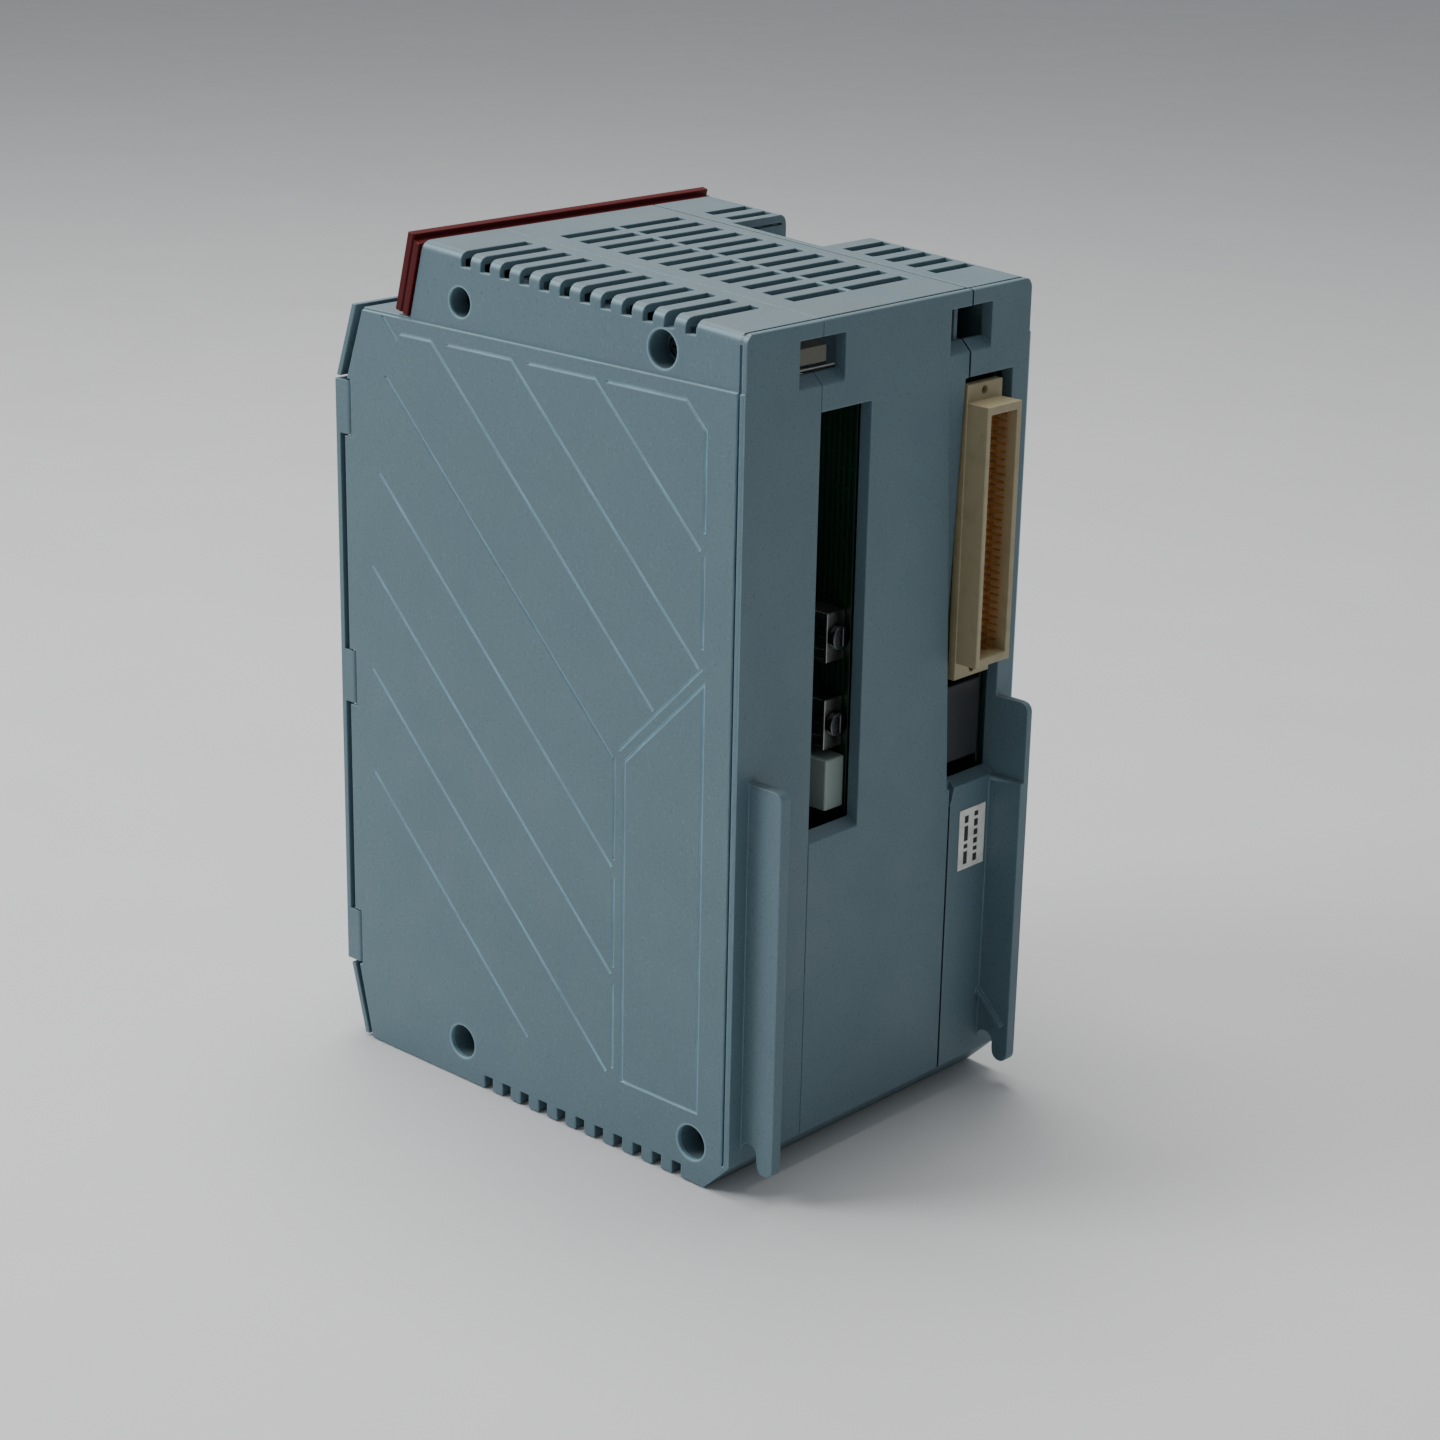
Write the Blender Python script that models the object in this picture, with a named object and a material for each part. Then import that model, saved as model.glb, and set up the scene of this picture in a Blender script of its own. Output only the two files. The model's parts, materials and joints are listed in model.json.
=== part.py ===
"""Rack-mounted servo drive module of double width, built as separate solids.

Lengths are millimetres until a mesh is made. +Z is up, the door faces -Y and +X is the side that
carries the door's hinge. The origin is the bottom centre. A distance called "ahead" runs forward
from the flat back face, because the features of the side walls are laid out from that edge.
"""

import math

import bmesh
import bpy
from mathutils import Matrix, Vector

MM = 0.001
GAP = 0.3
REACH = 20.0  # how far a cutter runs past the wall that it cuts
SMOOTH_ANGLE = math.radians(35)

# Body envelope
HALF_WIDTH = 67.0
REAR = 82.75
FRONT = -91.45
FOOT_FRONT = -83.5
NOSE_FRONT = -81.5
LOW_SLANT = 33.0
HIGH_SLANT = 226.5
NOSE_TOP = 255.3
LEDGE = 254.4
TOP_AT_REAR = 271.5
TOP_RISE = 0.064
REAR_CHAMFER = 10.0
BAND_INSET = 0.8
BAND_FRONT_LOW = -59.8
BAND_FRONT_HIGH = -53.3

# Walls
WALL = 2.6
SIDE_WALL = 3.0
REAR_WALL = 4.5
PARTITION = 1.6
PARTITION_FRONT = -62.0
DISPLAY_ROOM = -45.0  # the partition stays behind this above the nose shelf
EDGE_RADIUS = 3.0

# Seams between the three housings
SEAM_RIGHT = 33.0
SEAM_LEFT = -36.6
SEAM_LEFT_GAP = 0.8
EDGE_GROOVE_AHEAD = 2.2
EDGE_GROOVE_WIDTH = 1.0
EDGE_GROOVE_DEPTH = 0.6

# Louvres in the top and vents in the bottom
SLOT_PITCH = 8.62
SLOT_WIDTH = 4.2
FIRST_SLOT = 21.9
TOP_SLOTS = 12
BOTTOM_SLOTS = 11
SLOT_DEPTH = 4.6
RIGHT_SLOT_START = 38.5
BOTTOM_SLOT_MARGIN = 8.0
MIDDLE_SLOT_COLUMNS = ((-30.5, -2.5), (-0.5, 24.0))
LEFT_SLOT_SPAN = (-63.0, -43.0)
LEFT_REAR_SLOTS = 5
LEFT_FRONT_SLOTS = 2

# Finger recess through the top edge of the left shell, with the slider in it
RECESS_AHEAD = (64.0, 103.0)
RECESS_FLOOR = 252.9
RIDGE = 2.9
SLIDER_X = (-60.0, -48.0)
SLIDER_LENGTH = 16.0
SLIDER_THICKNESS = 2.7
SLIDER_RIBS = 4
SLIDER_RIB_PITCH = 3.6
SLIDER_RIB = 1.2

# Screw wells: (ahead, height, radius)
WELLS = ((33.0, 262.4, 5.8), (119.5, 263.3, 4.7), (15.6, 13.5, 5.8), (120.5, 13.5, 5.8))
WELL_NAMES = ("top_rear", "top_front", "bottom_rear", "bottom_front")
WELL_FLOOR = 57.5
WELL_WALL = 2.8
BOSS_END = 54.5
SCREW_HOLE = 1.8
SCREW_SHANK = 1.5
SCREW_HEAD = 3.3
SCREW_HEAD_HEIGHT = 2.4
SCREW_LENGTH = 14.0
ROD_RADIUS = 4.4
ROD_WEB = 1.2

# Rear windows and square holes
WINDOW_WIDTH = 23.0
WINDOW = (110.5, 244.0)
WINDOW_LEFT_EDGE = SEAM_LEFT + 1.0
NOTCH_CORNER = ((0.6, 111.5), (-2.8, 111.5), (0.6, 100.2))  # across from the seam, and height
NOTCH_DEPTH = 3.0
SQUARE_HOLE_WIDTH = 20.4
SQUARE_HOLE = (255.5, 266.5)
SQUARE_LIP = 3.5

# Hook rails on the back
RAIL_OUT = 13.0
RAIL_TOP = 135.5
RAIL_THICKNESS = 4.0
RAIL_INSET = 6.0
RAIL_CORNER = 3.0
HOOK_TIP_RADIUS = 3.2
HOOK_TIP = 8.5
HOOK_THROAT = 3.3
RIB_HEIGHT = 30.0
RIB_WIDTH = 1.6
RIB_STAND = 1.6

# Door and its hinge
DOOR_FACE = -95.75
DOOR_THICKNESS = 2.0
DOOR_BOTTOM = 26.5
DOOR_TOP = 230.2
HINGE_X = 65.5
HINGE_Y = -90.2
KNUCKLES = ((26.5, 45.3), (120.4, 138.6), (212.4, 230.2))
KNUCKLE_RADIUS = 1.5
NOTCH_CLEARANCE = 0.7
PIN_RADIUS = 0.9
PIN_HOLE = 1.0
PIN_REACH = 4.0
CARD = ((-48.0, 48.0), (188.0, 212.0))
CARD_DEPTH = 0.8
GRIP_RADIUS = 9.0
GRIP_SPAN = (118.0, 140.0)

# Leaning bezel, laid out in its own frame, whose face is the XZ plane
LEAN = math.radians(14.43)
BEZEL_CENTRE = Vector((0.0, -62.5, 269.6))
BEZEL_THICKNESS = 5.7
BEZEL_SPAN = (-12.9, 13.2)
BEZEL_PLATE = 2.6  # the front part, which stands above the rest
BEZEL_SHOULDER = 11.3
KEY_SIZE = 8.4
KEY_CLEARANCE = 0.3
KEY_PLACES = (-56.0, -43.0, -30.0, -17.0)
KEY_Z = -2.0
KEY_STAND = 0.9
KEY_BOARD_BACK = 9.4
DISPLAY_X = (-2.0, 56.0)
DISPLAY_HALF_HEIGHT = 7.0
LIGHT_X = (-60.0, -13.0)
LIGHT_Z = (7.0, 10.0)
BOARD_HALF_HEIGHT = 8.5

# Front frame and the panel of the front compartment
STRIP_TOP = ((-95.3, 231.2), (-87.0, 255.6))
STRIP_BOTTOM = ((-87.6, 0.6), (-94.2, 25.0))
PANEL_FACE = -72.0
PANEL_THICKNESS = 2.4
PANEL_BACK = PANEL_FACE + PANEL_THICKNESS
PANEL_Z = (21.0, 237.8)

# Controls on the panel
CONTROL_ROW = 218.0
DIAL_PLACES = (18.0, 36.0)
DIAL_RADIUS = 4.0
DIAL_SLOT = 0.6
RESET_X = 0.0
RESET_RADIUS = 2.6
MODE_X = -18.0
MODE_SLOT = (1.9, 5.2)  # half width and half height
MODE_LEVER = (1.5, -4.6, -1.0)  # half width, then its lower and upper ends from the row

# Connectors and terminals on the panel
TERMINAL_X = (-56.0, 30.0)
TERMINAL_Z = (28.0, 51.0)
TERMINAL_FACE = -88.0
TERMINAL_POLES = 8
TERMINAL_PITCH = 10.8
FIRST_POLE = -50.8
ENTRY = (3.4, 30.5, 37.5)  # half width, then its lower and upper ends
DRIVER_Z = 44.5
DRIVER_RADIUS = 2.9
HEADER_X = (-50.0, -36.0)
HEADER_Z = (70.0, 200.0)
HEADER_FACE = -86.0
HEADER_WALL = 1.6
HEADER_COLUMNS = (-45.0, -41.0)
HEADER_ROWS = 12
HEADER_PITCH = 10.0
FIRST_HEADER_ROW = 80.0
CONTACT_HALF = 0.5
ENCODER_X = (40.0, 51.0)
ENCODER_Z = (120.0, 160.0)
ENCODER_FACE = -79.0
ENCODER_WALL = 1.0
SOCKET_COLUMNS = ((44.1, 128.0, 8), (46.9, 129.4, 7))  # x, first height, count
SOCKET_PITCH = 2.77
SOCKET_RADIUS = 0.6
EARTH_X = 46.0
EARTH_Z = 38.0

# Rear plug connector
PLUG_Z = (145.5, 241.5)
PLUG_FLANGE = 3.0
PLUG_WIDTH = 17.4
SHROUD_Z = (151.3, 235.7)
SHROUD_OUT = 8.0
SHROUD_WALL = 2.0
PLUG_PIN_OUT = 6.0
PLUG_ROWS = 16
PLUG_PITCH = 4.95
PLUG_COLUMN_PITCH = 4.2
FIRST_PLUG_ROW = 156.5
PLUG_SCREWS = (148.2, 238.8)
PLUG_SCREW_HOLE = 1.4

# Boards, clamps and what stands on them
BOARD_Z = (26.0, 246.0)
BOARD_THICKNESS = 1.6
BOARD_REAR = REAR - 6.0
CONTROL_BOARD_X = -58.6
POWER_BOARD_X = 7.0
CLAMPS = {"upper": (161.3, 177.3), "lower": (133.0, 149.4)}
CLAMP_WIDTH = 8.4
CLAMP_SHEET = 1.2
CLAMP_FACE = REAR - 8.6
CLAMP_DEPTH = 13.4
CLAMP_HEAD = 3.9
CLAMP_SHANK = 1.7
RELAY_Z = (113.2, 130.2)
FILTER_X = (-56.5, -37.6)
FILTER_Z = (115.0, 141.5)
SINK_X = (-3.0, 2.6)
SINK_Y = (-55.0, 70.0)
SINK_Z = (30.0, 244.0)
SINK_FINS = 11
FIN_PITCH = 11.6
FIN_REACH = -30.0
FIN_HALF = 0.9
CAPACITOR_HEIGHTS = (60.0, 96.0, 132.0)
CAPACITOR_RADIUS = 15.0
CAPACITOR_LENGTH = 42.0
CHOKE_CENTRE = (18.0, 35.0, 60.0)

# Latch that meets the rack, behind the right square hole
LATCH_X = (28.4, 41.6)
LATCH_Z = (258.2, 263.4)
LATCH_FACE = REAR - 2.6
LATCH_LENGTH = 19.4
LATCH_HOOK = 2.0

# Grooves of the raised side panel, laid out in (ahead, height)
GROOVE_WIDTH = 0.9
GROOVE_DEPTH = 0.5
FIELD_TOP = 249.5
FIELD_BOTTOM = 25.5
FIELD_REAR = 14.5
FIELD_FRONT = 163.0
FIELD_STEP = 50.5
FIELD_CORNER = 8.0
DIAGONAL_PITCH = 36.2
FIRST_DIAGONAL = 189.5  # height minus distance ahead, along the first diagonal
DIAGONALS = 8
TOP_LEAD = 28.7
FRONT_LEAN = 0.13
FRONT_LEAN_FROM = 165.0
STEP_LINE = 184.0  # height plus distance ahead, along the slope above the small panel
SMALL_PANEL_MARGIN = (4.3, 5.6)  # from the step, then from the slope
SHORT_GROOVE = ((155.0, 254.0), (148.0, 247.0))

# Colours
BLUE_GREY = (0.20, 0.27, 0.30)
SURFACES = {
    "housing": ("housing_plastic", BLUE_GREY, 0.55, 0.0),
    "bezel": ("bezel_red", (0.20, 0.03, 0.035), 0.4, 0.0),
    "window": ("window_smoke", (0.05, 0.02, 0.02), 0.1, 0.0),
    "lights": ("light_bar", (0.75, 0.80, 0.70), 0.3, 0.0),
    "key": ("key_grey", (0.35, 0.37, 0.38), 0.5, 0.0),
    "terminal": ("terminal_plastic", (0.03, 0.035, 0.04), 0.5, 0.0),
    "connector": ("connector_beige", (0.62, 0.56, 0.42), 0.5, 0.0),
    "contact": ("contact_brass", (0.72, 0.50, 0.20), 0.35, 1.0),
    "steel": ("bright_steel", (0.62, 0.62, 0.60), 0.3, 1.0),
    "red": ("button_red", (0.45, 0.03, 0.03), 0.4, 0.0),
    "lever": ("lever_white", (0.70, 0.70, 0.66), 0.5, 0.0),
    "label": ("label_white", (0.80, 0.80, 0.78), 0.6, 0.0),
    "dark": ("component_grey", (0.08, 0.085, 0.09), 0.6, 0.0),
    "board": ("board_green", (0.02, 0.13, 0.07), 0.4, 0.0),
    "relay": ("relay_pale", (0.55, 0.62, 0.55), 0.45, 0.0),
    "aluminium": ("heat_sink_metal", (0.60, 0.61, 0.62), 0.45, 1.0),
    "can": ("capacitor_sleeve", (0.03, 0.04, 0.09), 0.4, 0.0),
    "choke": ("choke_wire", (0.50, 0.22, 0.08), 0.4, 0.6),
}


def clear_scene():
    for obj in list(bpy.data.objects):
        bpy.data.objects.remove(obj, do_unlink=True)


def material(name, colour, roughness, metallic):
    made = bpy.data.materials.new(name)
    made.use_nodes = True
    shader = made.node_tree.nodes["Principled BSDF"]
    shader.inputs["Base Color"].default_value = (*colour, 1.0)
    shader.inputs["Roughness"].default_value = roughness
    shader.inputs["Metallic"].default_value = metallic
    return made


# Shapes, each a new bmesh in millimetres


def box(x, y, z):
    shape = bmesh.new()
    bmesh.ops.create_cube(shape, size=1.0)
    size = Vector((x[1] - x[0], y[1] - y[0], z[1] - z[0]))
    centre = Vector((x[0] + x[1], y[0] + y[1], z[0] + z[1])) / 2
    place = Matrix.Translation(centre) @ Matrix.Diagonal((*size, 1.0))
    bmesh.ops.transform(shape, matrix=place, verts=shape.verts)
    return shape


def loft(first, second):
    """A closed solid between two outlines with the same number of 3-D points."""
    shape = bmesh.new()
    near = [shape.verts.new(point) for point in first]
    far = [shape.verts.new(point) for point in second]
    shape.faces.new(near)
    shape.faces.new(reversed(far))
    for i, vert in enumerate(near):
        after = (i + 1) % len(near)
        shape.faces.new((near[after], vert, far[i], far[after]))
    bmesh.ops.recalc_face_normals(shape, faces=shape.faces)
    return shape


def prism(outline, x):
    """An outline of (y, z) points, extruded along X."""
    return loft([(x[0], *point) for point in outline], [(x[1], *point) for point in outline])


def rod(start, direction, length, radius, sides=16):
    shape = bmesh.new()
    bmesh.ops.create_cone(
        shape, cap_ends=True, segments=sides, radius1=radius, radius2=radius, depth=length
    )
    direction = Vector(direction).normalized()
    turn = Vector((0, 0, 1)).rotation_difference(direction).to_matrix().to_4x4()
    middle = Vector(start) + direction * length / 2
    bmesh.ops.transform(shape, matrix=Matrix.Translation(middle) @ turn, verts=shape.verts)
    return shape


def ring(centre, ring_radius, tube_radius, ring_steps=24, tube_steps=8):
    """A torus whose axis is X."""
    shape = bmesh.new()
    rows = []
    for i in range(ring_steps):
        turn = 2 * math.pi * i / ring_steps
        row = []
        for j in range(tube_steps):
            lift = 2 * math.pi * j / tube_steps
            out = ring_radius + tube_radius * math.cos(lift)
            offset = (tube_radius * math.sin(lift), out * math.cos(turn), out * math.sin(turn))
            row.append(shape.verts.new(Vector(centre) + Vector(offset)))
        rows.append(row)
    for i, row in enumerate(rows):
        onward = rows[(i + 1) % ring_steps]
        for j in range(tube_steps):
            above = (j + 1) % tube_steps
            shape.faces.new((row[j], onward[j], onward[above], row[above]))
    bmesh.ops.recalc_face_normals(shape, faces=shape.faces)
    return shape


def ribbon(points, width, x, closed=False):
    """A band of even width along (y, z) points, extruded along X, with mitred corners."""
    points = [Vector(point) for point in points]
    count = len(points)
    sides = []
    for i, point in enumerate(points):
        before = points[i - 1] if closed or i > 0 else None
        after = points[(i + 1) % count] if closed or i < count - 1 else None
        into = (point - before).normalized() if before else (after - point).normalized()
        out = (after - point).normalized() if after else into
        normal = Vector((-(into + out).y, (into + out).x)).normalized()
        reach = width / 2 / normal.dot(Vector((-into.y, into.x)))
        sides.append((point + normal * reach, point - normal * reach))
    shape = bmesh.new()
    corners = [
        [shape.verts.new((depth, *point)) for depth in x for point in side] for side in sides
    ]
    for i in range(count if closed else count - 1):
        a, b = corners[i], corners[(i + 1) % count]
        for p, q in ((0, 1), (1, 3), (3, 2), (2, 0)):
            shape.faces.new((a[p], a[q], b[q], b[p]))
    if not closed:
        for end in (corners[0], corners[-1]):
            shape.faces.new((end[0], end[1], end[3], end[2]))
    bmesh.ops.recalc_face_normals(shape, faces=shape.faces)
    return shape


def arc(centre, radius, start, end, steps=6):
    """Points on a circle between two angles in degrees."""
    angles = [math.radians(start + (end - start) * i / steps) for i in range(steps + 1)]
    return [(centre[0] + radius * math.cos(a), centre[1] + radius * math.sin(a)) for a in angles]


def merged(shapes):
    """Shapes that don't touch one another, as one bmesh, which suits a cutter."""
    whole = bmesh.new()
    for shape in shapes:
        mesh = bpy.data.meshes.new("scratch")
        shape.to_mesh(mesh)
        shape.free()
        whole.from_mesh(mesh)
        bpy.data.meshes.remove(mesh)
    return whole


def bezel_frame():
    return Matrix.Translation(BEZEL_CENTRE) @ Matrix.Rotation(-LEAN, 4, "X")


def leaned(shape):
    """Moves a shape from the bezel's own frame onto the body."""
    bmesh.ops.transform(shape, matrix=bezel_frame(), verts=shape.verts)
    return shape


def grown(span, by):
    """A (low, high) span made longer at both ends."""
    return (span[0] - by, span[1] + by)


def around(middle, half):
    return (middle - half, middle + half)


# Objects


def solid(name, shape, surface):
    """An object from a bmesh in millimetres."""
    bmesh.ops.scale(shape, vec=(MM, MM, MM), verts=shape.verts)
    mesh = bpy.data.meshes.new(name)
    shape.to_mesh(mesh)
    shape.free()
    mesh.materials.append(surface)
    obj = bpy.data.objects.new(name, mesh)
    bpy.context.scene.collection.objects.link(obj)
    return obj


def pivot(obj, point):
    """Puts a finished object's origin on its joint axis, at a point in millimetres."""
    origin = Vector(point) * MM
    obj.data.transform(Matrix.Translation(-origin))
    obj.location = origin
    return obj


def reshape(obj, operation, shapes):
    """Unites or cuts an object with each shape in turn, and keeps the result as its mesh."""
    surface = obj.data.materials[0]
    tools = []
    for shape in shapes:
        tool = solid("tool", shape, surface)
        modifier = obj.modifiers.new("shape", "BOOLEAN")
        modifier.operation = operation
        modifier.solver = "EXACT"
        modifier.object = tool
        tools.append(tool)
    bpy.context.view_layer.update()
    graph = bpy.context.evaluated_depsgraph_get()
    mesh = bpy.data.meshes.new_from_object(obj.evaluated_get(graph))
    obj.modifiers.clear()
    obj.data = mesh
    mesh.name = obj.name
    for tool in tools:
        bpy.data.objects.remove(tool, do_unlink=True)
    return obj


def unite(obj, *shapes):
    return reshape(obj, "UNION", shapes)


def cut(obj, *shapes):
    return reshape(obj, "DIFFERENCE", shapes)


# Body outlines


def top_height(y):
    return TOP_AT_REAR + (REAR - y) * TOP_RISE


def body_outline():
    return [
        (REAR, REAR_CHAMFER),
        (REAR - REAR_CHAMFER, 0.0),
        (FOOT_FRONT, 0.0),
        (FRONT, LOW_SLANT),
        (FRONT, HIGH_SLANT),
        (NOSE_FRONT, NOSE_TOP),
        (BAND_FRONT_LOW, NOSE_TOP),
        (BAND_FRONT_HIGH, top_height(BAND_FRONT_HIGH)),
        (REAR, TOP_AT_REAR),
    ]


def cavity_outline():
    """The hollow inside the walls, open to the front above and below the nose shelf."""
    front = FRONT - REACH
    inner_rear = REAR - REAR_WALL
    chamfer_line = REAR - REAR_CHAMFER - WALL * math.sqrt(2)
    shelf = around(NOSE_TOP, WALL)
    shelf_back = BAND_FRONT_LOW + WALL
    return [
        (front, WALL),
        (chamfer_line + WALL, WALL),
        (inner_rear, inner_rear - chamfer_line),
        (inner_rear, top_height(inner_rear) - WALL),
        (front, top_height(front) - WALL),
        (front, shelf[1]),
        (shelf_back, shelf[1]),
        (shelf_back, shelf[0]),
        (front, shelf[0]),
    ]


def section(y, seam):
    """Cross-section of a side shell at one y: raised lower panel, inset band, rounded top edge."""
    top = top_height(y)
    band = HALF_WIDTH - BAND_INSET
    corner = arc((band - EDGE_RADIUS, top - EDGE_RADIUS), EDGE_RADIUS, 0, 90, 4)
    outline = [
        (seam, 0.0),
        (HALF_WIDTH, 0.0),
        (HALF_WIDTH, LEDGE),
        (band, LEDGE),
        *corner,
        (seam, top),
    ]
    return [(x, y, z) for x, z in outline]


# Cutters shared by the housings


def slot_spans(count):
    """The (low, high) y of each slot, counted from the back."""
    return [around(REAR - FIRST_SLOT - SLOT_PITCH * i, SLOT_WIDTH / 2) for i in range(count)]


def top_slots(x, rows):
    """Louvre cutters for the given rows, counted from the back."""
    spans = slot_spans(TOP_SLOTS)
    floors = [top_height(sum(span) / 2) - SLOT_DEPTH for span in spans]
    return merged([box(x, spans[row], (floors[row], floors[row] + REACH)) for row in rows])


def bottom_slots(x):
    return merged([box(x, span, (-REACH, SLOT_DEPTH)) for span in slot_spans(BOTTOM_SLOTS)])


def window(seam):
    """A tall rear window that ends at a seam, with a sloped lower lip."""
    inside = REAR - REAR_WALL - 1.0
    outline = [
        (REAR + REACH, WINDOW[0] - 2.0),
        (REAR, WINDOW[0] - 2.0),
        (inside, WINDOW[0] + 1.0),
        (inside, WINDOW[1]),
        (REAR + REACH, WINDOW[1]),
    ]
    return prism(outline, (seam - WINDOW_WIDTH, seam + 1.0))


def square_hole(seam):
    """A locating hole across a seam, with a bevelled lower lip."""
    inside = REAR - REAR_WALL - 1.0
    outline = [
        (REAR + REACH, SQUARE_HOLE[0] - SQUARE_LIP),
        (REAR, SQUARE_HOLE[0] - SQUARE_LIP),
        (REAR - SQUARE_LIP, SQUARE_HOLE[0]),
        (inside, SQUARE_HOLE[0]),
        (inside, SQUARE_HOLE[1]),
        (REAR + REACH, SQUARE_HOLE[1]),
    ]
    return prism(outline, around(seam, SQUARE_HOLE_WIDTH / 2))


def edge_groove():
    """The fine groove over the top of the body, just ahead of the back face."""
    y = REAR - EDGE_GROOVE_AHEAD
    floor = top_height(y) - EDGE_GROOVE_DEPTH
    width = around(0.0, HALF_WIDTH + REACH)
    return box(width, around(y, EDGE_GROOVE_WIDTH / 2), (floor, floor + REACH))


def side_groove():
    """The same groove down the side of a shell."""
    y = REAR - EDGE_GROOVE_AHEAD
    x = (HALF_WIDTH - BAND_INSET - EDGE_GROOVE_DEPTH, HALF_WIDTH + REACH)
    return box(x, around(y, EDGE_GROOVE_WIDTH / 2), (REAR_CHAMFER, TOP_AT_REAR - EDGE_RADIUS))


# Grooves of the raised side panel


def diagonal_line(number):
    """Height minus distance ahead, which is constant along one diagonal."""
    return FIRST_DIAGONAL - DIAGONAL_PITCH * number


def diagonal_start(line):
    """The front upper end of a diagonal: on the field's top, or on its leaning front edge."""
    leaning = (FIELD_FRONT - FRONT_LEAN * (line - FRONT_LEAN_FROM)) / (1 + FRONT_LEAN)
    return min(FIELD_TOP - line, FIELD_FRONT, leaning)


def diagonal_end(line):
    """The rear lower end: on the rear edge, the slope, the step or the bottom."""
    on_slope = (STEP_LINE - line) / 2 + 1.0
    if on_slope < FIELD_REAR + 10.0:
        return FIELD_REAR + 1.5
    return max(min(on_slope, FIELD_STEP + 1.0), FIELD_BOTTOM - line)


def diagonals():
    """The long diagonals, each with a lead along the field's top where it starts there."""
    lines = []
    for number in range(DIAGONALS):
        line = diagonal_line(number)
        start, end = diagonal_start(line), diagonal_end(line)
        points = [(start, start + line), (end, end + line)]
        if start + line > FIELD_TOP - 0.1:
            lead = min(TOP_LEAD, FIELD_FRONT - 2 * FIELD_CORNER - start)
            points.insert(0, (start + lead, FIELD_TOP))
        lines.append(points)
    return lines


def field_borders():
    """The broken border at the field's top, rear edge, slope and step."""
    rear_gap = FIELD_REAR + diagonal_line(0)
    above = [
        (FIELD_TOP - FIRST_DIAGONAL - 5.0, FIELD_TOP),
        (FIELD_REAR + FIELD_CORNER, FIELD_TOP),
        (FIELD_REAR, FIELD_TOP - FIELD_CORNER),
        (FIELD_REAR, rear_gap + 7.0),
    ]
    behind = [(FIELD_REAR, rear_gap), (FIELD_REAR, STEP_LINE - FIELD_REAR + 6.0)]
    slope = [(ahead, STEP_LINE - ahead) for ahead in (FIELD_STEP - 2.0, FIELD_REAR)]
    crossings = [FIELD_STEP + diagonal_line(number) for number in (4, 5)]
    tops = [STEP_LINE - FIELD_STEP - 1.0] + [height - 2.5 for height in crossings]
    ends = [height + 3.5 for height in crossings] + [FIELD_BOTTOM + 2.0]
    step = [[(FIELD_STEP, top), (FIELD_STEP, end)] for top, end in zip(tops, ends)]
    return [above, behind, slope, *step]


def small_panel():
    """The closed border of the small panel in the lower rear corner."""
    inner = FIELD_STEP - SMALL_PANEL_MARGIN[0]
    outer = FIELD_REAR - 0.8
    slope = STEP_LINE - SMALL_PANEL_MARGIN[1]
    foot = FIELD_BOTTOM - 1.0
    return [(inner, slope - inner), (outer, slope - outer), (outer, foot), (inner, foot)]


def side_grooves():
    x = (HALF_WIDTH - GROOVE_DEPTH, HALF_WIDTH + REACH)
    lines = [(points, False) for points in (*diagonals(), *field_borders(), SHORT_GROOVE)]
    lines.append((small_panel(), True))
    return merged([
        ribbon([(REAR - ahead, z) for ahead, z in points], GROOVE_WIDTH, x, closed)
        for points, closed in lines
    ])


# Housings


def hook_rail(x):
    """A standing rail: a tall flange with a rounded top corner and a hook foot."""
    out = REAR + RAIL_OUT
    foot = HOOK_TIP + 6.0
    outline = [
        (REAR - 1.0, RAIL_TOP),
        *arc((out - RAIL_CORNER, RAIL_TOP - RAIL_CORNER), RAIL_CORNER, 90, 0, 4),
        *arc((out - HOOK_TIP_RADIUS, HOOK_TIP + HOOK_TIP_RADIUS), HOOK_TIP_RADIUS, 0, -180, 8),
        *arc((REAR + HOOK_THROAT, foot), HOOK_THROAT, 0, 180, 6),
        (REAR - 1.0, foot),
    ]
    return prism(outline, x)


def well_bosses():
    length = HALF_WIDTH - SIDE_WALL + 1.0 - BOSS_END
    return [
        rod((BOSS_END, REAR - ahead, z), (1, 0, 0), length, radius + WELL_WALL, 24)
        for ahead, z, radius in WELLS
    ]


def well_bores():
    return merged([
        rod((WELL_FLOOR, REAR - ahead, z), (1, 0, 0), REACH, radius, 24) for ahead, z, radius in WELLS
    ])


def screw_bores():
    length = WELL_FLOOR - BOSS_END + 4.0
    return merged([
        rod((BOSS_END - 2.0, REAR - ahead, z), (1, 0, 0), length, SCREW_HOLE, 12) for ahead, z, _ in WELLS
    ])


def knuckle_notches():
    x = (HALF_WIDTH - SIDE_WALL - 1.0, HALF_WIDTH + REACH)
    y = (FRONT - REACH, HINGE_Y + KNUCKLE_RADIUS + 0.5)
    return merged([box(x, y, grown(span, NOTCH_CLEARANCE)) for span in KNUCKLES])


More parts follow.
